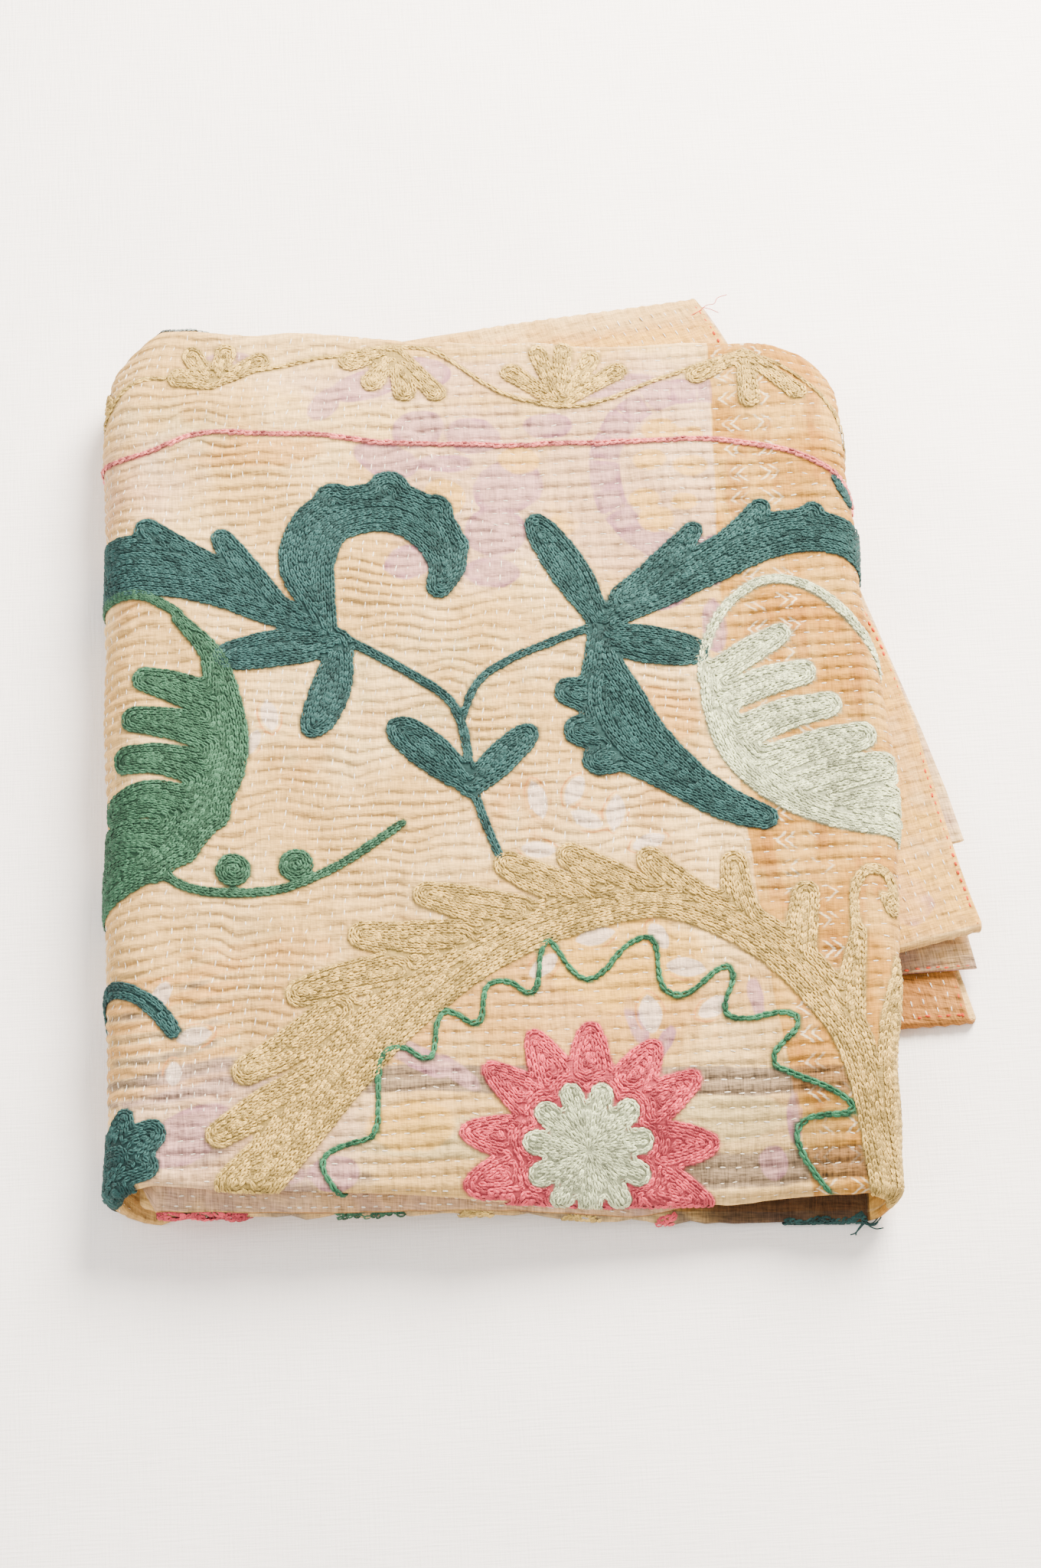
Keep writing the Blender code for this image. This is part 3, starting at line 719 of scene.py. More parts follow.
def relief(u, v):
    # how far the cover stands out from the plain fold, in metres
    along, across, strong = quiltTurns(u, v)
    ridge = np.cos(2 * math.pi * along)
    pulled = np.where(rowsRunAcross(u, v) > 0, 1.0, 0.4)
    out = waves(slowWaves, u, v) + quilting["height"] * strong * ridge * (1.1 - 0.52 * pulled)
    column = np.cos(2 * math.pi * across)
    out = out - quilting["between"] * strong * pulled * column
    out = out - quilting["dimple"] * strong * pulled * (0.5 - 0.5 * ridge) * (0.5 + 0.5 * column) ** 2
    out = out + 0.0002 * softNoise(u, v, 11, 9, 33.3)
    for ax, ay, bx, by, height, width in creases:
        dx, dy = bx - ax, by - ay
        t = ((u * 1000 - ax) * dx + (v * 1000 - ay) * dy) / (dx * dx + dy * dy)
        bend = 2.5 * np.sin(7.0 * t + ax)
        away = ((u * 1000 - ax) * dy - (v * 1000 - ay) * dx) / math.hypot(dx, dy) + bend
        ends = smooth(3 * t) * smooth(3 * (1 - t))
        out = out + height * mm * ends * np.exp(-((away / width) ** 2))
    away = sample(allCovered, u, v)
    out = out + quilting["lift"] * smooth(-away / 2)
    return out - quilting["pinch"] * np.exp(-((np.maximum(away, 0) / 2.5) ** 2)) * (away > 0)


# the printed cottons, as fields on the cover: distances in millimetres or 0 to 1
def spot(u, v, x, y, rx, ry, soft):
    # 1 inside an oval and 0 outside, in millimetres
    away = np.hypot((u - x) / rx, (v - y) / ry)
    return smooth((1 + soft - away) / (2 * soft))


def spots(u, v, table, join=np.add):
    return join.reduce([strength * spot(u, v, x, y, rx, ry, soft) for strength, x, y, rx, ry, soft in table])


# strength, x, y, reach in x and y, softness of the edge
washSpots = ((1, 70, 160, 54, 66, 0.3), (0.8, -20, 150, 48, 56, 0.4), (0.7, -40, 216, 90, 16, 0.6),
             (1, -142, -174, 64, 32, 0.45), (0.6, -186, 166, 38, 34, 0.6))
yellowHearts = ((1, -34, 147, 11, 10, 0.35), (0.8, 5, 167, 11, 8, 0.35), (0.6, 26, 132, 9, 8, 0.35),
                (0.75, 76, 181, 10, 7, 0.35), (0.75, 70, 164, 9, 6.3, 0.35), (0.75, 90, 160, 9, 6.3, 0.35),
                (0.75, 66, 143, 8, 5.6, 0.35), (0.75, 72, 131, 10, 7, 0.35), (0.75, 92, 178, 6, 4.2, 0.35),
                (0.75, 86, 140, 7, 4.9, 0.35))
yellowPatches = ((0.7, 45, -100, 40, 26, 0.35), (0.8, -60, -176, 22, 12, 0.35))
brownSpots = ((0.55, -120, -200, 46, 10, 0.5), (0.5, -163, -180, 30, 13, 0.4),
              (0.45, -150, -151, 50, 13, 0.6))
creamSpots = ((0.4, -60, 40, 110, 60, 0.6), (0.9, 70, -176, 50, 11, 0.35), (0.8, -20, -182, 80, 10, 0.35),
              (0.5, -170, 185, 40, 30, 0.8))
ochreSpots = ((0.7, -60, -130, 16, 24, 0.35), (0.5, -120, -90, 40, 14, 0.7), (0.8, -128, 177, 38, 9, 0.7),
              (0.8, 64, 26, 26, 16, 0.35), (0.5, -8, -20, 30, 30, 0.8), (0.8, 20, -120, 70, 36, 0.7),
              (0.5, -190, 120, 20, 60, 0.8))
lilacPetals = [  # x, y, reach along and across, turned by
    (-45, 186, 13, 11, 10), (-18, 181, 14, 10, -10), (-1, 152, 18, 15, 20), (-8, 128, 15, 14, 0),
    (-61, 170, 17, 9, -25), (-51, 113, 13, 9, 10), (-12, 106, 14, 8, 0), (-33, 166, 15, 5, 0),
    (-70, 214, 18, 10, 15), (-92, 203, 12, 7, 60), (-40, 222, 14, 9, -10), (50, 208, 26, 7, 5),
    (20, 186, 12, 7, 0), (94, 101, 18, 8, 5), (70, 88, 13, 6, 10), (97, 74, 6, 13, 0),
    (-164, -176, 24, 12, 25), (-112, -178, 12, 6, 35), (-58, -142, 17, 6, -30), (-36, -152, 12, 4, -40),
    (-128, -196, 18, 6, 0), (108, -197, 6, 8, 20), (-96, -196, 12, 8, 0), (119, -178, 3.5, 11, 0),
    (-140, 232, 14, 6, 0), (104, -120, 3.5, 9, 10), (47, -128, 4, 12, 15), (60, -140, 3, 10, -30),
]
leafShapes = [  # the same for the leaves
    (6, -16, 10, 4.6, 105), (24, -12, 9, 4.4, 60), (43, -24, 10, 4.8, 80), (29, -27, 9, 4.4, 150),
    (5, -41, 9, 4.2, 175), (54, -126, 10, 5.5, 95), (30, -86, 10, 4.6, 10), (5, -100, 9, 4.4, 40),
    (72, -104, 10, 4.8, 170), (-122, 34, 9, 4.4, 100), (-131, 20, 8, 3.6, 60), (60, -88, 8, 4.2, 120),
    (84, -124, 9, 4.6, 30), (-2, -72, 8, 4.2, 130), (-176, -108, 9, 4.4, 60), (-160, -128, 9, 4.4, 10),
    (-170, -146, 7, 3.8, 90), (40, 4, 8, 4.0, 120), (18, -58, 8, 4, 70), (58, -40, 9, 4, 20),
]


def turnedFrom(u, v, x, y, turned):
    c, s = math.cos(math.radians(turned)), math.sin(math.radians(turned))
    return (u - x) * c + (v - y) * s, (v - y) * c - (u - x) * s


def bandEdge(v):
    return np.interp(v, [-220, -170, -112, -53, -12, 50, 114, 211], [127, 119, 112, 107, 104, 102, 101, 103])


def printFields(u, v):
    u, v = u * 1000, v * 1000
    orange = u - bandEdge(v)
    lilac = 0 * u + 30
    for x, y, rx, ry, turned in lilacPetals:
        a, b = turnedFrom(u, v, x, y, turned)
        lilac = np.minimum(lilac, (np.hypot(a / rx, b / ry) - 1) * min(rx, ry))
    # half a ring of blocks, cut by the orange band
    reach, turn = np.hypot(u - 92, v - 158), np.degrees(np.arctan2(v - 158, u - 92))
    block = np.maximum(np.abs(reach - 45) - 7.0, np.abs(np.mod(turn, 17) - 8.5) * 0.78 - 5.6) - 0.6
    lilac = np.where(orange < 2, np.minimum(lilac, block), lilac + 2)
    wash = spots(u, v, washSpots[:3], np.maximum) * (orange < 0)
    wash = np.maximum(wash, spots(u, v, washSpots[3:], np.maximum))
    yellow = np.maximum(spots(u, v, yellowHearts), spots(u, v, yellowPatches))
    leaf = 0 * u + 20
    for x, y, rx, ry, turned in leafShapes:
        a, b = turnedFrom(u, v, x, y, turned)
        bow = (rx * rx - ry * ry) / (2 * ry)
        leaf = np.minimum(leaf, np.hypot(a, np.abs(b) + bow) - bow - ry)
    # brown bars near the front, and stripes at the front left
    brown = np.exp(-(((v + 156 + 0.045 * u) / 7) ** 4)) * smooth((u + 110) / 25)
    brown = brown + 0.8 * np.exp(-(((v + 199) / 9) ** 4)) * smooth((u - 52) / 16)
    striped = 0.5 + 0.5 * np.sin(2 * math.pi * (v + 4 * np.sin(u / 17)) / 10.5)
    leftLow = smooth((-128 - u) / 22) * smooth((v + 168) / 14) * smooth((-78 - v) / 30)
    brown = np.maximum(brown, spots(u, v, brownSpots)) + 0.46 * leftLow * striped
    cream = spots(u, v, creamSpots)
    ochre = leftLow * (1 - striped) + spots(u, v, ochreSpots)
    return {"orange": orange, "lilac": lilac, "yellow": np.clip(yellow, 0, 1), "leaf": leaf, "wash": wash,
            "brown": np.clip(brown, 0, 1), "cream": np.clip(cream, 0, 1), "ochre": np.clip(ochre, 0, 1)}


# what shows of the other plies: run and ply, outer or inner side, then the same fields
plyPrints = {
    ("third", 2, 1): {"yellow": 0.5, "ochre": 0.62},
    ("third", 4, -1): {"orange": -30, "lilac": 3, "wash": 0.6, "cream": 0.6, "brown": 0.3},
    ("bottom", 4, 1): {"orange": -30, "lilac": 2, "wash": 0.62, "cream": 0.5, "brown": 0.42},
    ("bottom", 4, -1): {"orange": -30, "lilac": -3},
    ("bottom", 0, 1): {"orange": 30, "brown": 0.55, "ochre": 1.0},
    ("bottom", 0, -1): {"orange": 30, "brown": 0.51},
    ("bottom", 1, 1): {"orange": 30, "brown": 0.55, "ochre": 1.0},
    ("bottom", 2, 1): {"orange": 30, "brown": 0.55, "ochre": 1.0},
    # the inner plies of the second run and of the right fold: the band dyed brown, partly print and partly
    # painted shade for the shade inside the bundle
    ("second", 0, 1): {"orange": 30, "brown": 0.7},
    ("second", 4, -1): {"orange": 30, "brown": 0.7},
    ("right", 4, 1): {"orange": 30, "brown": 0.7},
    ("right", 4, -1): {"orange": 30, "brown": 0.7},
    ("right", 0, 1): {"orange": 30, "brown": 0.7},
    ("second", 1, 1): {"brown": 0.5, "cream": 0.45},
    ("second", 4, 1): {"brown": 0.38, "wash": 0.7, "ochre": 0.3},
    ("inner", 4, 1): {"brown": 0.38, "wash": 0.7, "ochre": 0.3},
}
otherPrint = {"orange": -2.0, "lilac": 20.0, "yellow": 0.0, "leaf": 20.0, "wash": 0.0, "brown": 0.1,
              "cream": 0.1, "ochre": 0.2}

# the sheet's mesh: rings of points round the packet, joined one to the next
meshSizes = {"coverRow": 0.0014, "coverStep": 0.0023, "foldSteps": 8}  # metres, and steps round a fold
rows = np.array([0.0, 0.04, 0.08, 0.13, 0.20, 0.30, 0.42, 0.58, 0.70, 0.80, 0.87, 0.92, 0.96, 1.0])
endRows = np.array([0.0, 0.065])
foldPlaces = np.arange(meshSizes["foldSteps"]) / meshSizes["foldSteps"]


def placesRound(firstPly):
    # places round the packet from 0 to 5, with the given rows on its first ply
    ended = np.concatenate([endRows, rows[rows >= fold["endRow"]]])
    return np.concatenate([ended[:-1], 1 + foldPlaces, 2 + firstPly[:-1], 3 + foldPlaces, 5 - ended[::-1]])


plainPlaces = placesRound(rows)
coverRows = round(0.45 / meshSizes["coverRow"])
coverPlaces = placesRound(np.linspace(0, 1, coverRows + 1))


def flatPlace(name, share, place):
    # u and v on the flat sheet of a place on the folded one
    edges = coverEdges(name, share) if name in ("top", "outer", "right") else (
        edgesOf(name, share) if name in runs else edgesOf("second", share * 0))
    y = section(place, 0.0 * place, edges)[0]
    frontTurn, backTurn = edges[0] + frontRadius + half, edges[1] - backRadius - half
    frontArc, backArc = math.pi * (frontRadius + half), math.pi * (backRadius + half)
    v = np.where(place < 1, 2 * frontTurn - frontArc - y, y)
    v = np.where((place >= 1) & (place < 2), frontTurn - frontArc * (2 - place), v)
    v = np.where((place > 3) & (place <= 4), backTurn + backArc * (place - 3), v)
    v = np.where(place > 4, 2 * backTurn + backArc - y, v)
    turnX, foldRadius = rightTurnX(y), innerRadius + 0.45 * hollow(y) + packetHalf
    if name == "top":
        u = mix(spineX, turnX, share)
    elif name == "outer":
        u = spineX - loopRadius * math.pi * (1 - share) + 0 * y
    elif name == "right":
        u = turnX + foldRadius * math.pi * (1 - share)
    elif name == "bottom":
        u = spineX - loopRadius * math.pi - share * 0.40 + 0 * y
    else:
        hidden = {"inner": 0.6 - 0.02 * (1 - share), "second": 0.6 + 0.36 * share}
        u = hidden.get(name, 0.58 - 0.40 * share) + 0 * y
    return u, v


sheetParts = {"points": [], "faces": [], "fields": [], "count": 0}


def ring(name, share, outerPlaces):
    # one ring of points round the packet: along its outer side, then back along its inner one
    labels, points = [], []
    for places, side in ((outerPlaces, 1), (plainPlaces[::-1], -1)):
        shares = share + 0.0 * places
        u, v = flatPlace(name, shares, places)
        onShown = (side > 0) & (name in ("top", "outer", "right"))
        off = side * half + 0.0 * u
        if onShown:
            off = off + reliefShown(name, shares, places) * relief(u, v)
        if name in ("inner", "second"):
            # the fold under the cover's edge is uneven
            near = smooth((places - 0.8) * 6) * smooth((2.2 - places) * 6) + smooth((places - 4.85) * 12)
            wave = np.sin(u * 480 + 2 * np.sin(u * 110)) + 0.7 * np.sin(u * 205 + 0.8 * places)
            off = off + 0.00075 * near * wave
        if name in hems:
            y = section(places, 0.0 * places, edgesOf(name, shares))[0]
            inward = (1 - share) * (hemX(name, y, places) - spineX)
            rounded = np.sqrt(1 - np.clip(1 - inward / half, 0, 0.97) ** 2)
            bend = 0.5 * np.sin(y * 640 + 2 * np.sin(y * 150)) + 0.6 * np.sin(y * 260 + places)
            off = off * rounded + 0.0007 * bend * np.exp(-inward / 0.014) * smooth((places - 1) * 4)
            off = off + 0.0004 * np.sin(inward * 950 + 1.5 * np.sin(y * 180)) * (side > 0)
        points.append(clothPoint(name, shares, places, off))
        labels.append(places if side > 0 else 11 - places)
        along, across, strong = quiltTurns(u, v)
        away = sample(allCovered, u, v)
        onCoverPly = onShown & (places > 1) & (places < 4)
        fieldsHere = printFields(u, v)
        ply = np.clip(np.floor(places), 0, 4).astype(int)
        for key, plain in otherPrint.items():
            value = np.where(onCoverPly, fieldsHere[key], plain)
            for (run, which, face), given in plyPrints.items():
                if run == name and face == side and key in given:
                    value = np.where(ply == which, given[key], value)
            fieldsHere[key] = value
        if name == "third" and side > 0:
            x, y = points[-1][:, 0] + fold["middle"][0], points[-1][:, 1] + fold["middle"][1]
            dot = (np.hypot(x - 0.182, y + 0.066) - 0.0135) * 1000
            fieldsHere["lilac"] = np.minimum(fieldsHere["lilac"], dot)
        # painted shade under the embroidery: the cloth between its stitches is darkened towards the yarn's
        # colour
        fieldsHere["covered"] = np.where(onCoverPly, smooth(0.7 - away), 0.0)
        # painted shade inside the hollow under the cover's right front, over a dark brown print
        if name == "second" or (name == "right" and side < 0):
            inHollow = 1.0 if name == "right" else smooth((share - 0.70) / 0.10)
            nearFront = smooth((-0.14 - v) / 0.02 + (places > 4) + (places < 2))
            fieldsHere["covered"] = 0.88 * inHollow * nearFront + 0 * u  # dark inside the hollow
        fieldsHere["strong"] = np.where(onCoverPly, strong, 0.55)
        fieldsHere["along"] = along
        fieldsHere["across"] = across
        fieldsHere["u"], fieldsHere["v"] = u, v
        # the colour laid under the painted shade: the yarn's colour on the cover, and a dark brown print on
        # the other plies
        tint = np.zeros((len(u), 3))
        for colour in yarnColours:
            field = fields.get(colour, lineFields.get(colour))
            near = sample(np.minimum(field, lineFields.get(colour, field)), u, v) < 0.8
            tint[near] = linear(yarnColours[colour])[:3]
        # off the cover: the dark brown print under the hollow's painted shade
        tint = np.where(onCoverPly[:, None], tint, linear("#4a3122")[:3])
        fieldsHere["tint"] = tint
        sheetParts["fields"].append(fieldsHere)
    labels = np.concatenate(labels)
    start = sheetParts["count"]
    sheetParts["points"] += points
    sheetParts["count"] += len(labels)
    return labels, np.arange(start, start + len(labels))


def joinRings(one, other):
    # quads where both rings have a point at the same place, triangles where only one has
    labelsOne, labelsOther = np.append(one[0], 12.0), np.append(other[0], 12.0)
    first, second = np.append(one[1], one[1][0]).tolist(), np.append(other[1], other[1][0]).tolist()
    faces, i, j = sheetParts["faces"], 0, 0
    while i < len(first) - 1 or j < len(second) - 1:
        nextOne = labelsOne[i + 1] if i < len(first) - 1 else math.inf
        nextOther = labelsOther[j + 1] if j < len(second) - 1 else math.inf
        if abs(nextOne - nextOther) < 1e-6:
            faces.append((first[i], first[i + 1], second[j + 1], second[j]))
            i, j = i + 1, j + 1
        elif nextOne < nextOther:
            faces.append((first[i], first[i + 1], second[j]))
            i += 1
        else:
            faces.append((first[i], second[j + 1], second[j]))
            j += 1


def sheetStations():
    # where the rings lie, from the hem of the third run to the hem of the bottom one
    plain = [0, 0.14, 0.28, 0.42, 0.52] + list(np.linspace(0.6, 0.99, 46))
    plain += [0.9945, 0.997, 0.9985, 0.9995, 1.0]  # close together at the rounded hem
    order = [("third", s, False) for s in plain[::-1]]
    order += [("inner", k / 8, False) for k in range(1, 9)]
    order += [("second", k / 48, False) for k in range(1, 49)]
    order += [("right", s, s > 0.3) for s in list(np.arange(1, 6) / 18) + list(np.linspace(0.3, 1, 17)[1:])]
    steps = round(0.335 / meshSizes["coverStep"])
    order += [("top", 1 - k / steps, True) for k in range(1, steps + 1)]
    order += [("outer", s, s > 0.2) for s in list(np.linspace(1, 0.2, 24)[1:]) + [0.12, 0.05, 0.0]]
    return order + [("bottom", s, False) for s in plain[1:]]


previous = None
for name, share, fine in sheetStations():
    current = ring(name, share, coverPlaces if fine else plainPlaces)
    if previous is None:
        firstRing = current
    else:
        joinRings(previous, current)
    previous = current
for turned, (_, indices) in ((False, firstRing), (True, previous)):
    count = len(indices)
    for k in range(count // 2 - 1):
        face = (indices[k], indices[k + 1], indices[count - 2 - k], indices[count - 1 - k])
        sheetParts["faces"].append(tuple(int(q) for q in (face[::-1] if turned else face)))
sheetMesh = bpy.data.meshes.new("quiltedSheet")
sheetMesh.from_pydata(np.vstack(sheetParts["points"]).tolist(), [], sheetParts["faces"])
sheetMesh.validate()
sheetMesh.shade_smooth()


def pointValues(mesh, name, values):
    # stores one number, or three, for every point of a mesh
    values = np.asarray(values, np.float32)
    kind = "FLOAT" if values.ndim == 1 else "FLOAT_VECTOR"
    attribute = mesh.attributes.new(name, kind, "POINT")
    attribute.data.foreach_set("value" if values.ndim == 1 else "vector", values.ravel())


gathered = {key: np.concatenate([f[key] for f in sheetParts["fields"]]) for key in sheetParts["fields"][0]}
gathered["none"] = 0 * gathered["u"]
gathered["zone"] = rowsRunAcross(gathered["u"], gathered["v"])
stored = {"flat": ("u", "v", "none"), "stitch": ("along", "across", "strong"),
          "zone": ("zone", "none", "none"), "printA": ("orange", "lilac", "leaf"),
          "printB": ("brown", "cream", "wash"), "printC": ("yellow", "ochre", "covered")}
for name, keys in stored.items():
    pointValues(sheetMesh, name, np.stack([gathered[key] for key in keys], axis=1))
pointValues(sheetMesh, "paintedShadeColour", gathered["tint"])
sheet = bpy.data.objects.new("quiltedSheet", sheetMesh)
bpy.context.scene.collection.objects.link(sheet)
print("sheet:", len(sheetMesh.vertices), "points,", len(sheetMesh.polygons), "faces")

# thread: short strands laid on the sheet, each with a three-cornered section
linkShape = np.array([  # along in shares of the length, aside in half widths, height and radius in mm
    (0.00, 0.10, 0.05, 0.30), (0.14, 0.40, 0.66, 0.36), (0.42, 0.92, 0.56, 0.42), (0.75, 0.98, 0.34, 0.42),
    (0.97, 0.00, 0.02, 0.36), (0.75, -0.98, 0.34, 0.42), (0.42, -0.92, 0.56, 0.42), (0.14, -0.40, 0.66, 0.36),
    (0.00, -0.10, 0.05, 0.30),
])
hairShape = np.array([(0.0, 0.0, 0.45, 0.055), (0.5, 0.12, 1.00, 0.050), (1.0, 0.0, 1.20, 0.030)])
dashShape = np.array([
    (0.00, 0.0, -0.25, 0.20), (0.14, 0.0, 0.02, 0.32), (0.50, 0.0, 0.16, 0.36), (0.86, 0.0, 0.02, 0.32),
    (1.00, 0.0, -0.25, 0.20),
])


def strands(name, starts, ends, shape, width, carry, material, thick=1.0, astray=0.2):
    # one mesh of equal strands from starts to ends in flat millimetres, carried onto the cloth
    starts, ends = np.asarray(starts, float), np.asarray(ends, float)
    count, stations = len(starts), len(shape)
    starts = starts + astray * rng.standard_normal(starts.shape)
    ends = ends + astray * rng.standard_normal(ends.shape)
    along = ends - starts
    aside = np.stack([-along[:, 1], along[:, 0]], axis=1) / np.hypot(*along.T)[:, None]
    uneven = 1 + 0.16 * rng.standard_normal((count, 1, 1))
    middle = starts[:, None] + along[:, None] * shape[None, :, 0, None]
    middle = middle + aside[:, None] * shape[None, :, 1, None] * width * uneven
    path = np.gradient(middle, axis=1)
    path /= np.maximum(np.hypot(path[..., 0], path[..., 1]), 1e-9)[..., None]
    across = np.stack([-path[..., 1], path[..., 0]], axis=-1)
    radius = shape[None, :, 3] * thick * (1 + 0.10 * rng.standard_normal((count, 1)))
    height = shape[None, :, 2] * thick + 0.09 * rng.standard_normal((count, 1))
    flat = np.stack([middle + side * radius[..., None] * across for side in (-1, 0, 1)], axis=2)
    off = np.stack([height - 0.3 * radius, height + radius, height - 0.3 * radius], axis=2)
    points = carry(flat[..., 0] * mm, flat[..., 1] * mm, off * mm)
    at = np.arange(count * stations * 3).reshape(count, stations, 3)
    one, two = at[:, :-1], at[:, 1:]
    faces = [np.stack([one[..., k], one[..., k + 1], two[..., k + 1], two[..., k]], axis=-1) for k in (0, 1)]
    mesh = bpy.data.meshes.new(name)
    faces = np.vstack([side.reshape(-1, 4) for side in faces])
    mesh.from_pydata(points.reshape(-1, 3).tolist(), [], faces.tolist())
    mesh.shade_smooth()
    pointValues(mesh, "shade", np.repeat(rng.uniform(-1, 1, count), stations * 3))
    twist = np.broadcast_to(np.arange(stations)[None, :, None] * 1.0 + np.array([0, 0.5, 1.0]), at.shape)
    pointValues(mesh, "twist", twist.ravel())
    mesh.materials.append(material)
    return putInScene(bpy.data.objects.new(name, mesh))


def putInScene(made):
    bpy.context.scene.collection.objects.link(made)
    return made


def addNode(tree, what, *inOrder, sockets=None, out=0, **settings):
    # a node of a kind, with its operation after a space; what feeds it is values or sockets
    kind, operation = (what + " ").split(" ")[:2]
    node = tree.nodes.new("ShaderNode" + kind)
    if operation:
        node.operation = operation
    for key, value in settings.items():
        setattr(node, key, value)
    for key, value in [*enumerate(inOrder), *(sockets or {}).items()]:
        if isinstance(value, bpy.types.NodeSocket):
            tree.links.new(value, node.inputs[key])
        else:
            node.inputs[key].default_value = value
    return node.outputs[out]


def newMaterial(name, finish):
    material = bpy.data.materials.new(name)
    material.use_nodes = True
    shader = material.node_tree.nodes["Principled BSDF"]
    for key, value in finish.items():
        shader.inputs[key].default_value = value
    return material, material.node_tree, shader


# the dyes as they lie on the cloth, then sizes of what is uneven in it, in mm
cotton = {
    "ground": "#ba9354", "faded": "#cca86c", "darker": "#ac8045",
    "ochre": "#b37f3c", "cream": "#b9a069", "brown": "#6e5c4a", "pinkWash": "#bd9686",
    "lilac": "#a67c76", "lilacRim": "#8f6068", "flowerHeart": "#c69640",
    "leaf": "#c9b29c", "leafLine": "#b3743a",
    "band": "#a06e26", "bandFaded": "#b78b44", "bandDark": "#8c5720", "figure": "#cbb893",
    "bandLilac": "#96695c", "bandOchre": "#b87326", "bandBrown": "#65492e",
    "patch": 71.4, "darkPatch": 45.5, "run": 18.2, "wornRim": 20.8, "wornLeaf": 7.14, "wornLine": 14.3,
    "bandPatch": 33.3, "bandStreak": 13.3, "feather": 1.43, "stripe": 3.85, "crinkle": 5.88, "pucker": 1.61,
    "thread": 0.8,  # really 0.3 mm and too fine to show, so it is drawn coarser
    "arrow": {"middle": 129.5, "lean": 0.052, "reach": 7.0, "slope": 1.15, "outer": 12.6, "inner": 8.2},
    "finish": {"Roughness": 0.92, "IOR": 1.5, "Specular IOR Level": 0.15, "Sheen Weight": 0.05,
               "Sheen Roughness": 0.5},
}


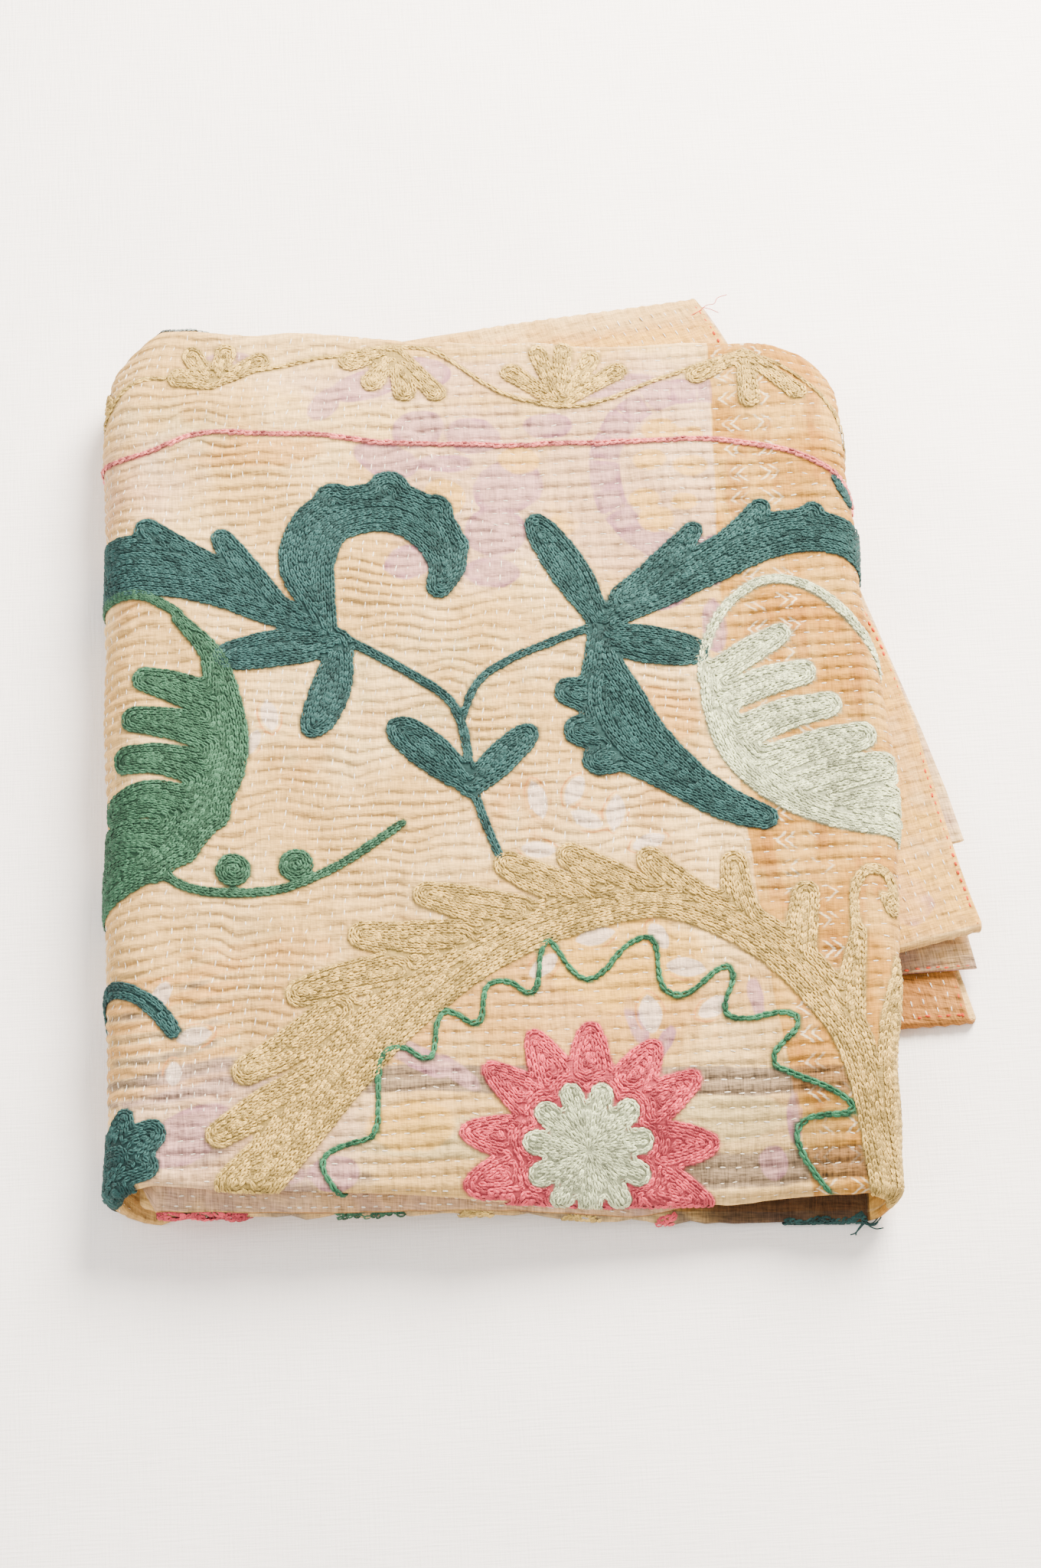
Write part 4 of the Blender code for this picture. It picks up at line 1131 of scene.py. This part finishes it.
def cottonMaterial():
    # woven cotton, block-printed by hand and washed soft: no gloss, dyes that have faded in patches and run
    # at their edges, and painted light and shade on the quilting: ridges painted lighter, the lines of
    # stitches between them darker
    material, tree, shader = newMaterial("woven cotton, block-printed and washed", cotton["finish"])
    put = partial(addNode, tree)
    step = partial(put, "MapRange", interpolation_type="SMOOTHSTEP")
    flat = put("Attribute", attribute_name="flat", out="Vector")

    def partsOf(name):
        return put("SeparateXYZ", put("Attribute", attribute_name=name, out="Vector")).node.outputs

    def uneven(size, detail=2.0, stretch=(1, 1, 1)):
        # soft light and dark about so many mm apart, and longer where the stretch is small
        moved = put("VectorMath MULTIPLY", flat, stretch)
        return put("TexNoise", sockets={"Vector": moved, "Scale": 1000 / size, "Detail": detail}, out="Fac")

    def dyed(under, dye, field, start, full, strength=1.0):
        # a dye over what is there, from where the field has one value to where it has the other
        share = put("Math MULTIPLY", step(field, start, full), strength)
        dye = linear(cotton[dye]) if isinstance(dye, str) else dye
        return put("Mix", sockets={0: share, 6: under, 7: dye}, data_type="RGBA", out=2)

    orange, lilac, leaf = partsOf("printA")
    brown, cream, wash = partsOf("printB")
    yellow, ochre, covered = partsOf("printC")
    along, across, strong = partsOf("stitch")
    runny = put("Math SUBTRACT", uneven(cotton["run"], 4), 0.5)
    colour = dyed(linear(cotton["ground"]), "faded", uneven(cotton["patch"]), 0.42, 0.62)
    colour = dyed(colour, "darker", uneven(cotton["darkPatch"], 3), 0.5, 0.72, 0.7)
    for field, dye, strength in ((ochre, "ochre", 0.65), (cream, "cream", 0.8), (brown, "brown", 0.9)):
        colour = dyed(colour, dye, put("Math MULTIPLY_ADD", runny, 0.9, field), 0.32, 0.62, strength)
    colour = dyed(colour, "pinkWash", put("Math ADD", wash, runny), 0.25, 0.8, 0.42)
    # lilac flowers with a deeper worn rim and ochre hearts
    petal = put("Math MULTIPLY_ADD", runny, 5.0, lilac)
    colour = dyed(colour, "lilac", petal, 0.7, -0.7, 0.85)
    rim = put("Math MULTIPLY", step(petal, -4.5, -0.6), step(uneven(cotton["wornRim"]), 0.42, 0.6))
    colour = dyed(colour, "lilacRim", petal, 0.6, -0.4, put("Math MULTIPLY", rim, 0.8))
    colour = dyed(colour, "flowerHeart", put("Math MULTIPLY_ADD", runny, 0.9, yellow), 0.32, 0.62, 0.75)
    # leaves are pale inside, with a thin worn line round them
    leafEdge = put("Math MULTIPLY_ADD", put("Math SUBTRACT", uneven(cotton["wornLeaf"]), 0.5), 1.6, leaf)
    colour = dyed(colour, "leaf", leafEdge, 0.3, -0.6, 0.8)
    fromLine = put("Math ABSOLUTE", put("Math SUBTRACT", leafEdge, 1.5))
    worn = put("Math MULTIPLY", step(uneven(cotton["wornLine"], 1), 0.42, 0.58), 0.8)
    colour = dyed(colour, "leafLine", fromLine, 0.8, 0.2, worn)
    # the orange band, and in it a column of arrowheads, two pointing each way, feathered along the weft
    band = dyed(linear(cotton["band"]), "bandFaded", uneven(cotton["bandPatch"], 3), 0.4, 0.65)
    band = dyed(band, "bandDark", uneven(cotton["bandStreak"], 2, (1, 0.3, 1)), 0.52, 0.68, 0.6)
    arrow = cotton["arrow"]
    uMm, vMm = [put("Math MULTIPLY", value, 1000.0) for value in put("SeparateXYZ", flat).node.outputs[:2]]
    leaned = put("Math MULTIPLY_ADD", vMm, arrow["lean"], put("Math SUBTRACT", uMm, arrow["middle"]))
    feather = put("Math SUBTRACT", uneven(cotton["feather"], 1, (0.25, 1, 1)), 0.5)
    feather = put("Math MULTIPLY", feather, 2.4)
    rise = put("Math PINGPONG", vMm, arrow["reach"])
    head = put("Math MULTIPLY_ADD", rise, arrow["slope"], put("Math ABSOLUTE", leaned))
    head = put("Math ADD", head, feather)
    away = [put("Math ABSOLUTE", put("Math SUBTRACT", head, arrow[at])) for at in ("outer", "inner")]
    figure = put("Math MULTIPLY", step(put("Math ADD", rise, feather), 4.8, 3.4),
                 step(uneven(cotton["bandStreak"], 1), 0.33, 0.5))
    band = dyed(band, "figure", put("Math MINIMUM", *away), 1.15, 0.3, put("Math MULTIPLY", figure, 0.8))
    band = dyed(band, "bandLilac", petal, 0.7, -0.7, 0.7)
    band = dyed(band, "bandOchre", ochre, 0.3, 1.0, 0.7)
    band = dyed(band, "bandBrown", brown, 0.35, 0.7, 0.8)
    colour = dyed(colour, band, put("Math MULTIPLY_ADD", runny, 3.0, orange), -0.7, 0.7)
    # painted shade: between the stitches of the embroidery the cloth takes the yarn's colour at 0.55, and
    # inside the hollow under the cover's right front a dark brown print at 0.55
    under = put("Attribute", attribute_name="paintedShadeColour", out="Vector")
    shaded = put("VectorMath SCALE", under, sockets={"Scale": 0.55})
    colour = put("Mix", sockets={0: covered, 6: colour, 7: shaded}, data_type="RGBA", out=2)
    # woven threads, coarser where the print is brown, and faint stripes of the cloth both ways
    woven = [uneven(cotton["thread"], 1, way) for way in ((1, 0.10, 1), (0.10, 1, 1))]
    woven = put("Math MULTIPLY", put("Math ADD", *woven), 0.5)
    stripes = put("Math ADD", *[uneven(cotton["stripe"], 1, way) for way in ((1, 0.02, 1), (0.02, 1, 1))])
    light = put("Math MULTIPLY", put("Math SUBTRACT", woven, 0.5), put("Math MULTIPLY_ADD", brown, 1.8, 1.7))
    light = put("Math MULTIPLY_ADD", put("Math SUBTRACT", stripes, 1.0), 0.40, light)
    ridge = put("Math COSINE", put("Math MULTIPLY", along, 2 * math.pi))
    column = put("Math COSINE", put("Math MULTIPLY", across, 2 * math.pi))
    gridded = put("Math MULTIPLY_ADD", step(partsOf("zone")[0], -0.5, 0.5), 0.8, 0.2)
    gridded = put("Math MULTIPLY", gridded, strong)
    # painted light and shade: the ridges' tops lighter and their troughs darker, and the lines of stitches
    # darker, most where the rows run along u
    light = put("Math MULTIPLY_ADD", put("Math MULTIPLY", ridge, strong), 0.085, light)
    light = put("Math MULTIPLY_ADD", put("Math MULTIPLY", column, gridded), -0.06, light)
    colour = put("VectorMath SCALE", colour, sockets={"Scale": put("Math ADD", light, 1.0)})
    tree.links.new(colour, shader.inputs["Base Color"])
    # fine relief in mm: narrow troughs, dimples at the stitches, crinkles, puckers and the weave
    trough = put("Math MULTIPLY_ADD", ridge, -0.5, 0.5)
    narrow = put("Math MULTIPLY", put("Math POWER", trough, 3.0), strong)
    dimple = put("Math MULTIPLY", trough, put("Math POWER", put("Math MULTIPLY_ADD", column, 0.5, 0.5), 3.0))
    raised = put("Math MULTIPLY", put("Math MULTIPLY", dimple, gridded), -0.30)
    for part, height in ((narrow, -0.55), (uneven(cotton["crinkle"], 3, (0.55, 1.0, 1)), 1.7),
                         (uneven(cotton["pucker"], 2, (0.5, 1.3, 1)), 0.22), (woven, 0.25)):
        raised = put("Math MULTIPLY_ADD", part, height, raised)
    bump = put("Bump", sockets={"Height": raised, "Distance": mm, "Strength": 1.0})
    tree.links.new(bump, shader.inputs["Normal"])
    return material


yarn = {
    "patch": 26.3,  # mm, over which the dye has faded more and less
    "fibre": 0.59,  # mm; wool fibres are 0.03 mm and too fine to show, so they are drawn coarser
    "spread": 0.42,  # from the palest stitch to the darkest, as a share
    "twist": 0.16,  # mm, how deep the twist of the plies is
    "finish": {"Roughness": 0.95, "Specular IOR Level": 0.15, "Sheen Weight": 0.08},
}


def yarnMaterial(name, hexColour, spread=yarn["spread"], twist=yarn["twist"]):
    # spun and plied: each stitch takes the dye a little differently, its plies show as a twist, and the
    # loose fibres scatter the light, so that it has no gloss
    material, tree, shader = newMaterial(name, yarn["finish"])
    put = partial(addNode, tree)
    shade = put("Attribute", attribute_name="shade", out="Fac")
    turn = put("Attribute", attribute_name="twist", out="Fac")
    coords = put("TexCoord", out="Object")
    noise = {"Vector": coords, "Scale": 1000 / yarn["patch"], "Detail": 3.0}
    faded = put("TexNoise", sockets=noise, out="Fac")
    noise = {"Vector": coords, "Scale": 1000 / yarn["fibre"], "Detail": 3.0, "Roughness": 0.7}
    fibres = put("TexNoise", sockets=noise, out="Fac")
    amount = put("Math MULTIPLY_ADD", shade, spread, 1.0 - 1.35)
    amount = put("Math MULTIPLY_ADD", faded, 0.9, amount)
    amount = put("Math MULTIPLY_ADD", fibres, 1.8, amount)
    colour = put("VectorMath SCALE", linear(hexColour)[:3], sockets={"Scale": amount})
    tree.links.new(colour, shader.inputs["Base Color"])
    plies = put("Math SINE", put("Math MULTIPLY", turn, 4.4))
    raised = put("Math MULTIPLY_ADD", plies, 0.5, fibres)
    tree.links.new(put("Bump", sockets={"Height": raised, "Distance": twist * mm}), shader.inputs["Normal"])
    return material


def looseMaterial(name, hexColour):
    # the same threads where they hang free, too thin for more than their dye to show
    return newMaterial(name, {"Base Color": linear(hexColour), "Roughness": 0.9})[0]


sheetMesh.materials.append(cottonMaterial())
# half width of a stitch in mm and how thick its yarn is, in a filled shape and in a single row
chainLook = {"filled": (0.66, 1.2), "single": (0.80, 1.5), "hair": (1.1, 2.3)}
yarns, dressing = {}, []
for name, lineRows in chainRows.items():
    yarns[name] = yarnMaterial("plied wool yarn, " + name, yarnColours[name])
    width, thick = chainLook["single" if name in ("wavyGreen", "pinkLine") else "filled"]
    halves = {"Chain": lineRows}
    if name == "teal":  # in two, to stay light enough
        halves = {"LeftChain": [row for row in lineRows if row[0, 0] < -20],
                  "RightChain": [row for row in lineRows if row[0, 0] >= -20]}
    for which, given in halves.items():
        given = [row[::-1] if rng.random() < 0.5 else row for row in given]
        starts = np.vstack([row[:-1] for row in given])
        ends = starts + stitchSizes["overlap"] * np.vstack([row[1:] - row[:-1] for row in given])
        dressing.append(strands(name + which, starts, ends, linkShape, width, onCover, yarns[name], thick))
        # a fibre stands off each stitch
        turn, reach = rng.uniform(0, 2 * math.pi, len(starts)), rng.uniform(*chainLook["hair"], len(starts))
        tips = starts + np.stack([reach * np.cos(turn), reach * np.sin(turn)], axis=1)
        hairs = strands(name + which + "Hairs", starts, tips, hairShape, 1.0, onCover, yarns[name], 1.0, 0.5)
        dressing.append(hairs)
print("chain stitches:", sum(len(o.data.vertices) for o in dressing), "points")

# white running stitches, in the troughs between the ridges; sizes in mm but for the limits
quiltDashes = {"length": 2.7, "uneven": 0.35, "missing": 0.04, "clear": 0.9, "tilt": 0.09, "thick": 0.85,
               "rows": np.arange(-48, 48), "u": (-0.236, 0.196), "v": (-0.214, 0.247),
               "colour": "#e0d2bc", "spread": 0.06, "twist": 0.03}
starts, ends = [], []
for runsAcross in (False, True):
    n, m = [axis.ravel() for axis in np.meshgrid(quiltDashes["rows"], quiltDashes["rows"], indexing="ij")]
    n = n + 0.5 + 0.07 * rng.standard_normal(n.shape)
    m = m + 0.05 * rng.standard_normal(m.shape)
    u, v = np.zeros(n.shape), np.zeros(n.shape)
    wider = (quilting["wider"] if runsAcross else 1) * mm
    for _ in range(25):  # closes in on the place where the wavering row has this stitch
        first, second = wobble(u, v)
        s, t = (n - first) * quilting["ridge"] * wider, (m - second) * quilting["row"] * wider
        u = mix(u, s if runsAcross else t + quilting["lean"] * s, 0.6)
        v = mix(v, t if runsAcross else s, 0.6)
    keep = (rowsRunAcross(u, v) > 0) == runsAcross
    keep &= (u > quiltDashes["u"][0]) & (u < quiltDashes["u"][1])
    keep &= (v > quiltDashes["v"][0]) & (v < quiltDashes["v"][1])
    keep &= (sample(allCovered, u, v) > quiltDashes["clear"]) & (rng.random(n.shape) > quiltDashes["missing"])
    reach = 0.5 * (quiltDashes["length"] + quiltDashes["uneven"] * rng.standard_normal(n.shape))
    tilt = quiltDashes["tilt"] * rng.standard_normal(n.shape)
    way = [reach, reach * tilt] if runsAcross else [reach * (tilt + quilting["lean"]), reach]
    way = np.stack(way, axis=1)[keep]
    centre = np.stack([u, v], axis=1)[keep] * 1000
    starts.append(centre - way)
    ends.append(centre + way)
whiteThread = yarnMaterial("spun cotton thread, white", quiltDashes["colour"], quiltDashes["spread"],
                           quiltDashes["twist"])
dressing.append(strands("runningStitches", np.vstack(starts), np.vstack(ends), dashShape, 0.0, onCover,
                        whiteThread, quiltDashes["thick"]))
print("running stitches:", len(np.vstack(starts)))


# stitches on the hemmed ends: red along the edges, white in rows
def onHem(name, ply, fromFront=False):
    # u is the distance in from the hem and v runs along it, or is the distance in from the front edge
    def carry(u, v, off):
        share = 1 - u / (hemX(name, -0.18 + 0 * v if fromFront else v, ply + 0.5) - spineX)
        front, back, _, short = edgesOf(name, share)
        frontTurn, backTurn = front + frontRadius + half, back - backRadius - half
        free = front + short if ply == 4 else frontTurn
        y = v + free if fromFront else v
        part = (y - frontTurn) / (backTurn - frontTurn)
        if ply == 0:
            part = 1 - part
        if ply == 4:
            firstRow = mix(frontTurn, backTurn, fold["endRow"])
            part = np.where(y < firstRow, fold["endRow"] * (y - free) / (firstRow - free), part)
        part = np.clip(part, 0, 1)
        return clothPoint(name, share, ply + (1 - part if ply == 4 else part), half + off)

    return carry


def rowOfDashes(inward, start, stop, pitch, length, along=True):
    at = np.arange(start, stop, pitch)
    at = at + 0.08 * pitch * rng.standard_normal(len(at))
    at = at[rng.random(len(at)) > 0.03]
    aside = inward + 0.25 * np.sin(at / 9) + 0.1 * rng.standard_normal(len(at))
    one, two = np.stack([aside, at], axis=1), np.stack([aside, at + length], axis=1)
    return (one, two) if along else (one[:, ::-1], two[:, ::-1])


# all in mm: distance in from the edge, pitch and length of the stitches
hemStitches = {
    "red": (2.0, 4.7, 2.5), "redFront": (1.2, 4.7, 2.4), "redFrontReach": (3, 70), "redThick": 1.6,
    "white": (7.0, 6.6, 2.7), "whiteRows": 9, "whiteApart": 6.0, "whiteThick": 0.85, "clear": (4, 3),
    "colour": "#c23f1c", "spread": 0.10, "twist": 0.03,  # of the red thread
    # run and ply, where the white rows start and stop, where the red one does, red along the front too
    "edges": (("third", 2, (-176, 208), (-172, 206), False), ("bottom", 4, (-172, 200), (150, 198), True),
              ("bottom", 0, (-205, 160), (-206, -186), True)),
}
redThread = yarnMaterial("spun cotton thread, red", hemStitches["colour"], hemStitches["spread"],
                         hemStitches["twist"])
for name, ply, (start, stop), redSpan, redFront in hemStitches["edges"]:
    inward, *sizes = hemStitches["red"]
    laid = {"red": (rowOfDashes(inward, *redSpan, *sizes), onHem(name, ply), redThread)}
    if redFront:
        inward, *sizes = hemStitches["redFront"]
        dashes = rowOfDashes(inward, *hemStitches["redFrontReach"], *sizes, along=False)
        laid["redFront"] = (dashes, onHem(name, ply, True), redThread)
    inward, *sizes = hemStitches["white"]
    start, stop = start + hemStitches["clear"][0], stop - hemStitches["clear"][1]
    white = [rowOfDashes(inward + hemStitches["whiteApart"] * k, start, stop, *sizes)
             for k in range(hemStitches["whiteRows"])]
    laid["white"] = ([np.vstack([row[k] for row in white]) for k in (0, 1)], onHem(name, ply), whiteThread)
    for kind, (dashes, carry, thread) in laid.items():
        thick = hemStitches["whiteThick" if kind == "white" else "redThick"]
        dressing.append(strands(f"{kind}Stitches{name}{ply}", *dashes, dashShape, 0.0, carry, thread, thick))
print("hem stitches laid")


# embroidery on the fold under the cover's front edge, crumpled there
def onFrontFold(bulge=0.0):
    # u is x in the packet and v the way down round the front fold, from its upper side
    def carry(u, v, off):
        share = np.clip((u - spineX) / (rightTurnX(0.0 * u - 0.2) - spineX), 0, 1)
        raised = bulge * mm * (0.6 + 0.4 * np.sin(u * 420 + v * 900))
        points = clothPoint("second", share, 1 + v / (math.pi * (frontRadius + half)), half + off + raised)
        points[..., 2] = np.maximum(points[..., 2], 0.0002)
        return points

    return carry


def onSecondPly(u, v, off):
    # v is the distance in from the front edge of the ply under the cover
    share = np.clip((u - spineX) / (rightTurnX(0.0 * u - 0.2) - spineX), 0, 1)
    front, back, _, short = edgesOf("second", share)
    firstRow = mix(front + frontRadius + half, back - backRadius - half, fold["endRow"])
    return clothPoint("second", share, 5 - fold["endRow"] * v / (firstRow - front - short), half + off)


def scatteredRows(left, right, top, bottom, pitch, slant):
    found = []
    for v in np.arange(top, bottom, 2.1):
        at = np.arange(left + 2 * rng.random(), right - 2 * rng.random(), pitch)
        row = np.stack([at, v + 0.8 * np.sin(at * 0.35 + v) + slant * (at - left)], axis=1)
        found.append((row[:-1], row[:-1] + 1.35 * (row[1:] - row[:-1])))
    return [np.vstack([f[k] for f in found]) for k in (0, 1)]


crumpled = {
    "pitch": 2.6, "width": 0.85, "thick": 1.3, "astray": 0.5,
    # yarn, then in mm: left, right, top and bottom round the fold; slant; how far it bulges
    "tufts": (("coral", (-186, -136, -1.5, 13.0), 0.0, 1.3), ("green", (-98, -62, 2.0, 5.0), -0.03, 0.2),
              ("tan", (-40, -22, 1.0, 6.5), 0.1, 0.2), ("tan", (8, 28, 0.0, 6.5), -0.1, 0.2),
              ("teal", (112, 156, 3.0, 8.5), 0.0, 0.2), ("coral", (52, 64, 2.0, 6.0), 0.05, 1.3)),
    # white rows on the ply under the cover: distance in and start; then stop, pitch and length
    "rows": ((2.2, -178), (7.0, -176)), "rowSizes": (112, 5.8, 2.6),
}
for name, box, slant, bulge in crumpled["tufts"]:
    one, two = scatteredRows(*box, crumpled["pitch"], slant)
    dressing.append(strands(name + "Folded", one, two, linkShape, crumpled["width"], onFrontFold(bulge),
                            yarns[name], crumpled["thick"], crumpled["astray"]))
laid = [rowOfDashes(*row, *crumpled["rowSizes"], along=False) for row in crumpled["rows"]]
dashes = [np.vstack([row[k] for row in laid]) for k in (0, 1)]
dressing.append(strands("foldStitches", *dashes, dashShape, 0.0, onSecondPly, whiteThread))


def looseThread(name, points, radius, material):
    curve = bpy.data.curves.new(name, "CURVE")
    curve.dimensions, curve.bevel_depth, curve.bevel_resolution = "3D", radius, 2
    points = curveThrough(points, 6)
    spline = curve.splines.new("POLY")
    spline.points.add(len(points) - 1)
    for point, at in zip(spline.points, points):
        point.co = (*at, 1)
    curve.materials.append(material)
    dressing.append(putInScene(bpy.data.objects.new(name, curve)))


# steps from the corner of the hem in mm, and the threads' radius in metres
looseEnds = {
    "red": {"looseRedThread": ((-6, -3, 0.2), (0, 0, 0.4), (4, 3, 0.8), (8, 3.5, 1.4), (10, 7, 1.0),
                               (15, 9, 0.5)),
            "looseRedEnd": ((2, 2, 0.6), (6, 0.5, 1.0), (10, -1.5, 0.6))},
    "redRadius": 0.00022, "tealRadius": 0.00035, "tealCount": 7, "tealFrom": 0.150, "tealApart": 0.0019,
    "redColour": "#c4452a", "tealColour": "#1d3f3d",
}
corner = clothPoint("third", 0.992, 2.985, half)
redLoose = looseMaterial("spun cotton thread, red, loose", looseEnds["redColour"])
for name, steps in looseEnds["red"].items():
    looseThread(name, [corner + np.array(step) * mm for step in steps], looseEnds["redRadius"], redLoose)
tealLoose = looseMaterial("plied wool yarn, teal, loose", looseEnds["tealColour"])
for k in range(looseEnds["tealCount"]):
    x, down = looseEnds["tealFrom"] + looseEnds["tealApart"] * k, 0.003 + 0.0008 * (k % 3)
    start = onFrontFold()(np.array(x), np.array(down), np.array(0.0004))
    aim = 0.9 * math.sin(2.7 * k) - 0.2
    curl = []
    for j in range(5):
        curl.append((2.0 * j * math.sin(aim + 0.5 * j * math.cos(k)), -1.9 * j * math.cos(aim + 0.4 * j),
                     0.9 * math.sin(1.1 * j)))
    curl = [np.maximum(start + np.array(step) * mm, (-1, -1, 0.0008)) for step in curl]
    looseThread(f"looseTealEnd{k}", curl, looseEnds["tealRadius"], tealLoose)
print("folded embroidery and loose threads laid")

# floor: a matte white cloth pulled smooth; its threads are drawn at 1.1 mm so that the weave shows
floorLook = {"reach": 3, "colour": "#fdf6ee", "thread": 1.11, "slack": 200, "relief": 0.0003,
             "finish": {"Roughness": 0.9}}
floorMesh = bpy.data.meshes.new("floorCloth")
floorMesh.from_pydata([(x * floorLook["reach"], y * floorLook["reach"], 0) for x, y in
                       ((-1, -1), (1, -1), (1, 1), (-1, 1))], [], [(0, 1, 2, 3)])
floor = putInScene(bpy.data.objects.new("floorCloth", floorMesh))
material, tree, shader = newMaterial("woven cotton cloth, white and pulled smooth", floorLook["finish"])
put = partial(addNode, tree)
coords = put("TexCoord", out="Object")
threads = []
for stretch in ((1, 0.06, 1), (0.06, 1, 1)):
    moved = put("VectorMath MULTIPLY", coords, stretch)
    noise = {"Vector": moved, "Scale": 1000 / floorLook["thread"], "Detail": 2.0}
    threads.append(put("TexNoise", sockets=noise, out="Fac"))
woven = put("Math ADD", *threads)
noise = {"Vector": coords, "Scale": 1000 / floorLook["slack"], "Detail": 2.0}
slack = put("TexNoise", sockets=noise, out="Fac")
tone = put("MapRange", woven, 0.6, 1.4, 0.94, 1.0)
colour = put("VectorMath SCALE", linear(floorLook["colour"])[:3], sockets={"Scale": tone})
tree.links.new(colour, shader.inputs["Base Color"])
raised = put("Math MULTIPLY_ADD", slack, 30.0, woven)
bump = put("Bump", sockets={"Height": raised, "Distance": floorLook["relief"]})
tree.links.new(bump, shader.inputs["Normal"])
floorMesh.materials.append(material)
floor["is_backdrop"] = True

# soft window light from the back right, a weaker one from the front left, and the room's own
lights = {
    "window": {"at": (0.75, 1.15, 1.2), "size": 1.1, "watts": 226, "colour": "#fff7ee"},
    "room": {"at": (-1.2, -0.6, 2.0), "size": 2.2, "watts": 40, "colour": "#f2f5ff"},
}
air = {"Color": linear("#f5efe8"), "Strength": 1.6}
for name, given in lights.items():
    data = bpy.data.lights.new(name, "AREA")
    data.shape, data.size, data.energy = "DISK", given["size"], given["watts"]
    data.color = linear(given["colour"])[:3]
    light = putInScene(bpy.data.objects.new(name, data))
    light.location = given["at"]
    light.rotation_euler = (Vector((0, 0, 0.02)) - Vector(given["at"])).to_track_quat("-Z", "Y").to_euler()
world = bpy.data.worlds.new("room")
bpy.context.scene.world = world
world.use_nodes = True
for key, value in air.items():
    world.node_tree.nodes["Background"].inputs[key].default_value = value

view = {"target": (-0.00878, -0.02786, 0.03), "distance": 1.8, "azimuth": -2.5, "elevation": 68, "lens": 85}
cameraData = bpy.data.cameras.new("camera")
cameraData.lens, cameraData.sensor_fit, cameraData.sensor_height = view["lens"], "VERTICAL", 36
camera = putInScene(bpy.data.objects.new("camera", cameraData))
az, el = math.radians(view["azimuth"]), math.radians(view["elevation"])
towards = Vector((math.sin(az) * math.cos(el), -math.cos(az) * math.cos(el), math.sin(el)))
camera.location = Vector(view["target"]) + view["distance"] * towards
camera.rotation_euler = (-towards).to_track_quat("-Z", "Y").to_euler()
bpy.context.scene.camera = camera
print("floor, light and camera set")

# what the pieces are
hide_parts("quilt")
for piece in [sheet] + dressing:
    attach(piece, "root")
sizes = {"cad": [list(map(float, corner)) for corner in cadBounds],
         "scene": [list(map(float, corner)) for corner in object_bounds()]}
print("sizes:", sizes)
